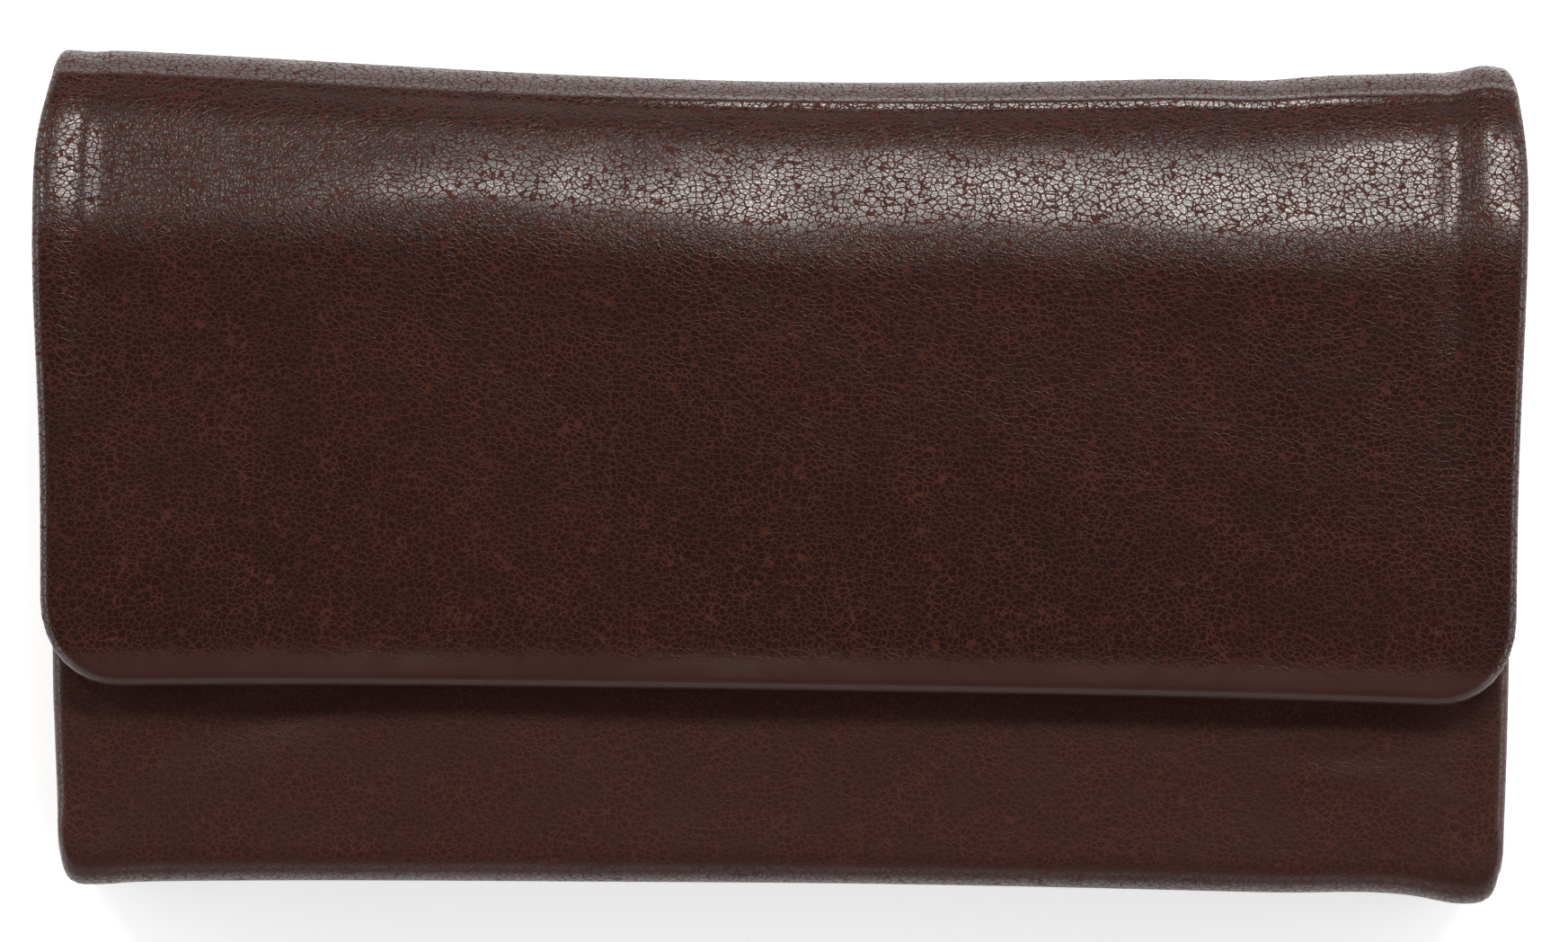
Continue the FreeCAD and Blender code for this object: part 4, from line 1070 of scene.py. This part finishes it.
def cover_leather():
    """Glazed calf: dark glossy grain islands, dull creases of a lighter red that is partly painted
    light, smooth hem, and a front panel made lighter partly by painted light.
    """
    material, tree, shader = new_material("cover_leather")
    flat = flat_coordinates(tree)
    along = part_of(tree, flat, "Y")
    frayed = maths(tree, "MULTIPLY", noise(tree, flat, 26, 4.0, 0.6), 0.03)
    hem = ramp(tree, maths(tree, "ADD", along, frayed), 0.070, 0.040)
    front = ramp(tree, along, BOTTOM_SPINE_START * UV_PER_MM, FRONT_START * UV_PER_MM, 0.0, 0.55)
    smooth = maths(tree, "MAXIMUM", hem, front)
    long_cells = stretched(tree, flat, (1.0, 1.22, 1.0))
    warped = bent(tree, bent(tree, long_cells, 60, 0.004), 12, 0.016)
    crease = ramp(tree, grain_cells(tree, warped, 112), 0.0, 0.105)
    fine = grain_cells(tree, bent(tree, long_cells, 140, 0.004), 215)
    fine_crease = ramp(tree, fine, 0.0, 0.13)
    grain = maths(tree, "MULTIPLY", crease, ramp(tree, fine_crease, 0.0, 1.0, 0.7, 1.0))
    tone = noise(tree, flat, 2.2, 4.0, 0.6)
    mottled = noise(tree, flat, 14.0, 5.0, 0.65)
    island = mix_colours(tree, ramp(tree, tone, 0.35, 0.65), (0.0145, 0.0046, 0.0040),
                         (0.0200, 0.0056, 0.0046))
    island = mix_colours(tree, ramp(tree, mottled, 0.4, 0.75, 0.0, 0.5), island,
                         (0.0122, 0.0044, 0.0040))
    # The front panel is mixed towards a lighter, redder colour: partly its smoother leather, partly
    # painted light standing for the sheen the front light gives it.
    island = mix_colours(tree, maths(tree, "MULTIPLY", front, 1.2), island,
                         (0.0340, 0.0100, 0.0078))
    long_noise = stretched(tree, bent(tree, flat, 20, 0.02), (1.0, 5.0, 1.0))
    fibres = ramp(tree, noise(tree, long_noise, 45, 5.0, 0.7), 0.55, 0.70)
    island = mix_colours(tree, maths(tree, "MULTIPLY", fibres, front), island,
                         (0.0560, 0.0150, 0.0105))
    island = mix_colours(tree, maths(tree, "MULTIPLY", hem, 0.7), island,
                         (0.0420, 0.0120, 0.0090))
    # Creases get a lighter red than the islands: partly the grain's red crease colour, partly painted
    # light standing for the light the creases catch.
    crease_red_with_painted_light = mix_colours(tree, ramp(tree, mottled, 0.3, 0.7), (0.0700, 0.0240, 0.0175),
                         (0.0470, 0.0160, 0.0120))
    level = maths(tree, "MAXIMUM", grain, hem)
    plug(tree, mix_colours(tree, level, crease_red_with_painted_light, island), shader["Base Color"])
    relief = maths(tree, "MAXIMUM", grain, smooth)
    rough = maths(tree, "ADD", ramp(tree, mottled, 0.3, 0.7, 0.17, 0.24),
                  ramp(tree, relief, 0.1, 0.9, 0.25, 0.0))
    rough = maths(tree, "ADD", rough, maths(tree, "MULTIPLY", smooth, 0.18))
    plug(tree, rough, shader["Roughness"])
    plug(tree, ramp(tree, relief, 0.35, 0.9, 0.02, 0.52), shader["Specular IOR Level"])
    bump(tree, shader, [(noise(tree, flat, 9, 3.0), 0.0006, 0.25), (relief, 0.00006, 0.38),
                        (noise(tree, flat, 700, 2.0), 0.000012, 0.2)])
    return material

def pocket_leather():
    material, tree, shader = new_material("pocket_leather")
    flat = flat_coordinates(tree)
    cells = grain_cells(tree, bent(tree, flat, 80, 0.005), 220)
    crease = ramp(tree, cells, 0.0, 0.18)
    tone = noise(tree, flat, 3.0, 4.0, 0.6)
    base = mix_colours(tree, ramp(tree, tone, 0.35, 0.65), (0.040, 0.0160, 0.0125),
                       (0.062, 0.0230, 0.0170))
    plug(tree, mix_colours(tree, crease, (0.022, 0.008, 0.006), base), shader["Base Color"])
    plug(tree, ramp(tree, tone, 0.3, 0.7, 0.42, 0.55), shader["Roughness"])
    bump(tree, shader, [(crease, 0.00008, 0.6), (noise(tree, flat, 500, 2.0), 0.00002, 0.4)])
    return material

def woven(name, dark, light, threads):
    """Plain weave: two crossed sets of threads, with uneven dye."""
    material, tree, shader = new_material(name)
    flat = flat_coordinates(tree)
    heights = []
    for axis in ("X", "Y"):
        turned = maths(tree, "MULTIPLY", part_of(tree, flat, axis), threads * math.tau)
        heights.append(maths(tree, "ABSOLUTE", maths(tree, "SINE", turned)))
    weave = maths(tree, "MULTIPLY", *heights)
    tone = noise(tree, flat, 5.0, 4.0, 0.6)
    base = mix_colours(tree, ramp(tree, tone, 0.3, 0.7), dark, light)
    shaded = mix_colours(tree, ramp(tree, weave, 0.0, 0.6, 0.35, 1.0),
                         tuple(0.4 * part for part in dark), base)
    plug(tree, shaded, shader["Base Color"])
    plug(tree, 0.8, shader["Roughness"])
    bump(tree, shader, [(weave, 0.00008, 0.6)])
    return material

def metal_finish(name, colour, roughness):
    material, tree, shader = new_material(name)
    place = object_coordinates(tree)
    worn = noise(tree, place, 900, 4.0, 0.6)
    base = mix_colours(tree, ramp(tree, worn, 0.4, 0.7, 0.0, 0.6), colour,
                       tuple(0.55 * part for part in colour))
    plug(tree, base, shader["Base Color"])
    plug(tree, 1.0, shader["Metallic"])
    plug(tree, ramp(tree, worn, 0.3, 0.7, roughness, roughness + 0.18), shader["Roughness"])
    bump(tree, shader, [(noise(tree, place, 2500, 2.0), 0.00001, 0.3)])
    return material

def thread_finish():
    material, tree, shader = new_material("thread")
    wave = add_node(tree, "ShaderNodeTexWave", bands_direction="DIAGONAL", Scale=60,
                    Vector=flat_coordinates(tree)).outputs["Fac"]
    plug(tree, mix_colours(tree, wave, (0.030, 0.012, 0.009), (0.085, 0.036, 0.026)),
         shader["Base Color"])
    plug(tree, 0.55, shader["Roughness"])
    bump(tree, shader, [(wave, 0.00004, 0.6)])
    return material

def plain_core(name, colour, scale, roughness):
    """Foam or fibre board: speckled, matt."""
    material, tree, shader = new_material(name)
    speck = noise(tree, object_coordinates(tree), scale, 5.0, 0.7)
    plug(tree, mix_colours(tree, ramp(tree, speck, 0.35, 0.65),
                           tuple(0.6 * part for part in colour), colour), shader["Base Color"])
    plug(tree, roughness, shader["Roughness"])
    bump(tree, shader, [(speck, 0.0001, 0.5)])
    return material

def clear_film():
    material, tree, shader = new_material("clear_film")
    haze = noise(tree, object_coordinates(tree), 60, 4.0, 0.6)
    for name, value in (("Base Color", (0.25, 0.27, 0.28)), ("Alpha", 0.12), ("IOR", 1.45),
                        ("Roughness", ramp(tree, haze, 0.3, 0.7, 0.06, 0.22))):
        plug(tree, value, shader[name])
    bump(tree, shader, [(haze, 0.0002, 0.2)])
    return material

def paint_node(node, material):
    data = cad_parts[node].data
    data.materials.clear()
    data.materials.append(material)


# ---------------------------------------------------------------- studio
WARM, WHITE = (1.0, 0.965, 0.93), (1, 1, 1)
# Each light's name, place, target, size, power and colour.
SOFTBOXES = (
    ("key_softbox", (0.26, 0.68, 0.82), (0.03, 0.03, 0.02), (0.68, 0.18), 8.7, WARM),
    ("left_key", (-0.50, 0.60, 0.78), (-0.05, 0.03, 0.02), (0.20, 0.20), 2.2, WARM),
    ("left_panel", (-1.3, 0.1, 0.55), (0, 0, 0), (3.0, 0.5), 18, WHITE),
    ("right_panel", (1.3, 0.1, 0.55), (0, 0, 0), (3.0, 0.5), 18, WHITE),
    ("front_light", (0.0, -1.3, 0.6), (0, 0, 0), (3.0, 0.4), 5.5, WHITE),
)
CAMERA_HEIGHT, VIEW_WIDTH, FILM_WIDTH, ROLL_DEGREES = 0.90, 0.1944, 36, 0.85

def make_floor():
    bpy.ops.mesh.primitive_plane_add(size=8, location=(0, 0, CAD_BOX[0][2] - 0.0002))
    floor = bpy.context.object
    floor.name = "studio_floor"
    material, tree, shader = new_material("studio_floor")
    for name, value in (("Base Color", (0.93, 0.93, 0.93)), ("Roughness", 0.8),
                        ("Emission Color", WHITE), ("Emission Strength", 0.5)):
        plug(tree, value, shader[name])
    floor.data.materials.append(material)

def make_lights():
    for name, location, target, size, power, colour in SOFTBOXES:
        light = bpy.data.lights.new(name, "AREA")
        light.shape = "RECTANGLE"
        light.size, light.size_y = size
        light.energy = power
        light.color = colour
        lamp = bpy.data.objects.new(name, light)
        lamp.location = location
        aim = Vector(target) - Vector(location)
        lamp.rotation_euler = aim.to_track_quat("-Z", "Y").to_euler()
        bpy.context.scene.collection.objects.link(lamp)
    world = bpy.data.worlds.new("studio")
    world.use_nodes = True
    background = world.node_tree.nodes["Background"].inputs
    background["Color"].default_value = (1, 1, 1, 1)
    background["Strength"].default_value = 0.05
    bpy.context.scene.world = world
    bpy.context.scene.view_settings.view_transform = "Standard"

def make_camera():
    """Looks straight down; the view is as wide as VIEW_WIDTH at the flap's level."""
    camera_data = bpy.data.cameras.new("camera")
    camera = bpy.data.objects.new("camera", camera_data)
    bpy.context.scene.collection.objects.link(camera)
    camera_data.sensor_width = FILM_WIDTH
    camera_data.lens = FILM_WIDTH * (CAMERA_HEIGHT - FLAP_Z * MM) / VIEW_WIDTH
    camera.location = (0.0008, -0.0006, CAMERA_HEIGHT)
    camera.rotation_euler = (0, 0, math.radians(ROLL_DEGREES))
    camera_data.clip_start = 0.01
    bpy.context.scene.camera = camera

make_floor()
make_lights()
make_camera()
COVER = cover_leather()
POCKET = pocket_leather()
LINING_CLOTH = woven("lining_fabric", (0.030, 0.0125, 0.0085), (0.048, 0.0200, 0.0135), 140)
TAPE = woven("zip_tape", (0.022, 0.0100, 0.0075), (0.036, 0.0160, 0.0115), 90)
STITCH = thread_finish()
ZIP_METAL = metal_finish("zip_metal", (0.52, 0.37, 0.17), 0.30)
SLIDER_METAL = metal_finish("slider_metal", (0.60, 0.44, 0.21), 0.18)
FOAM = plain_core("foam", (0.55, 0.50, 0.40), 900, 0.95)
BOARD = plain_core("stiffener", (0.30, 0.22, 0.14), 500, 0.9)
MAGNET = metal_finish("magnet", (0.60, 0.60, 0.62), 0.25)

make_cover(COVER)
make_linings(LINING_CLOTH)
make_hem_stitching(STITCH)
make_padding(FOAM)
make_card_slots(POCKET, STITCH)
make_flap_pockets(POCKET, STITCH)
make_front_pocket(POCKET, STITCH)
make_compartments(LINING_CLOTH, POCKET, STITCH)
make_zip(TAPE, POCKET, ZIP_METAL, SLIDER_METAL)
for board in ("back_board", "flap_board", "front_board"):
    paint_node(board, BOARD)
for magnet in ("flap_magnet", "front_magnet"):
    paint_node(magnet, MAGNET)
make_window_film(clear_film())
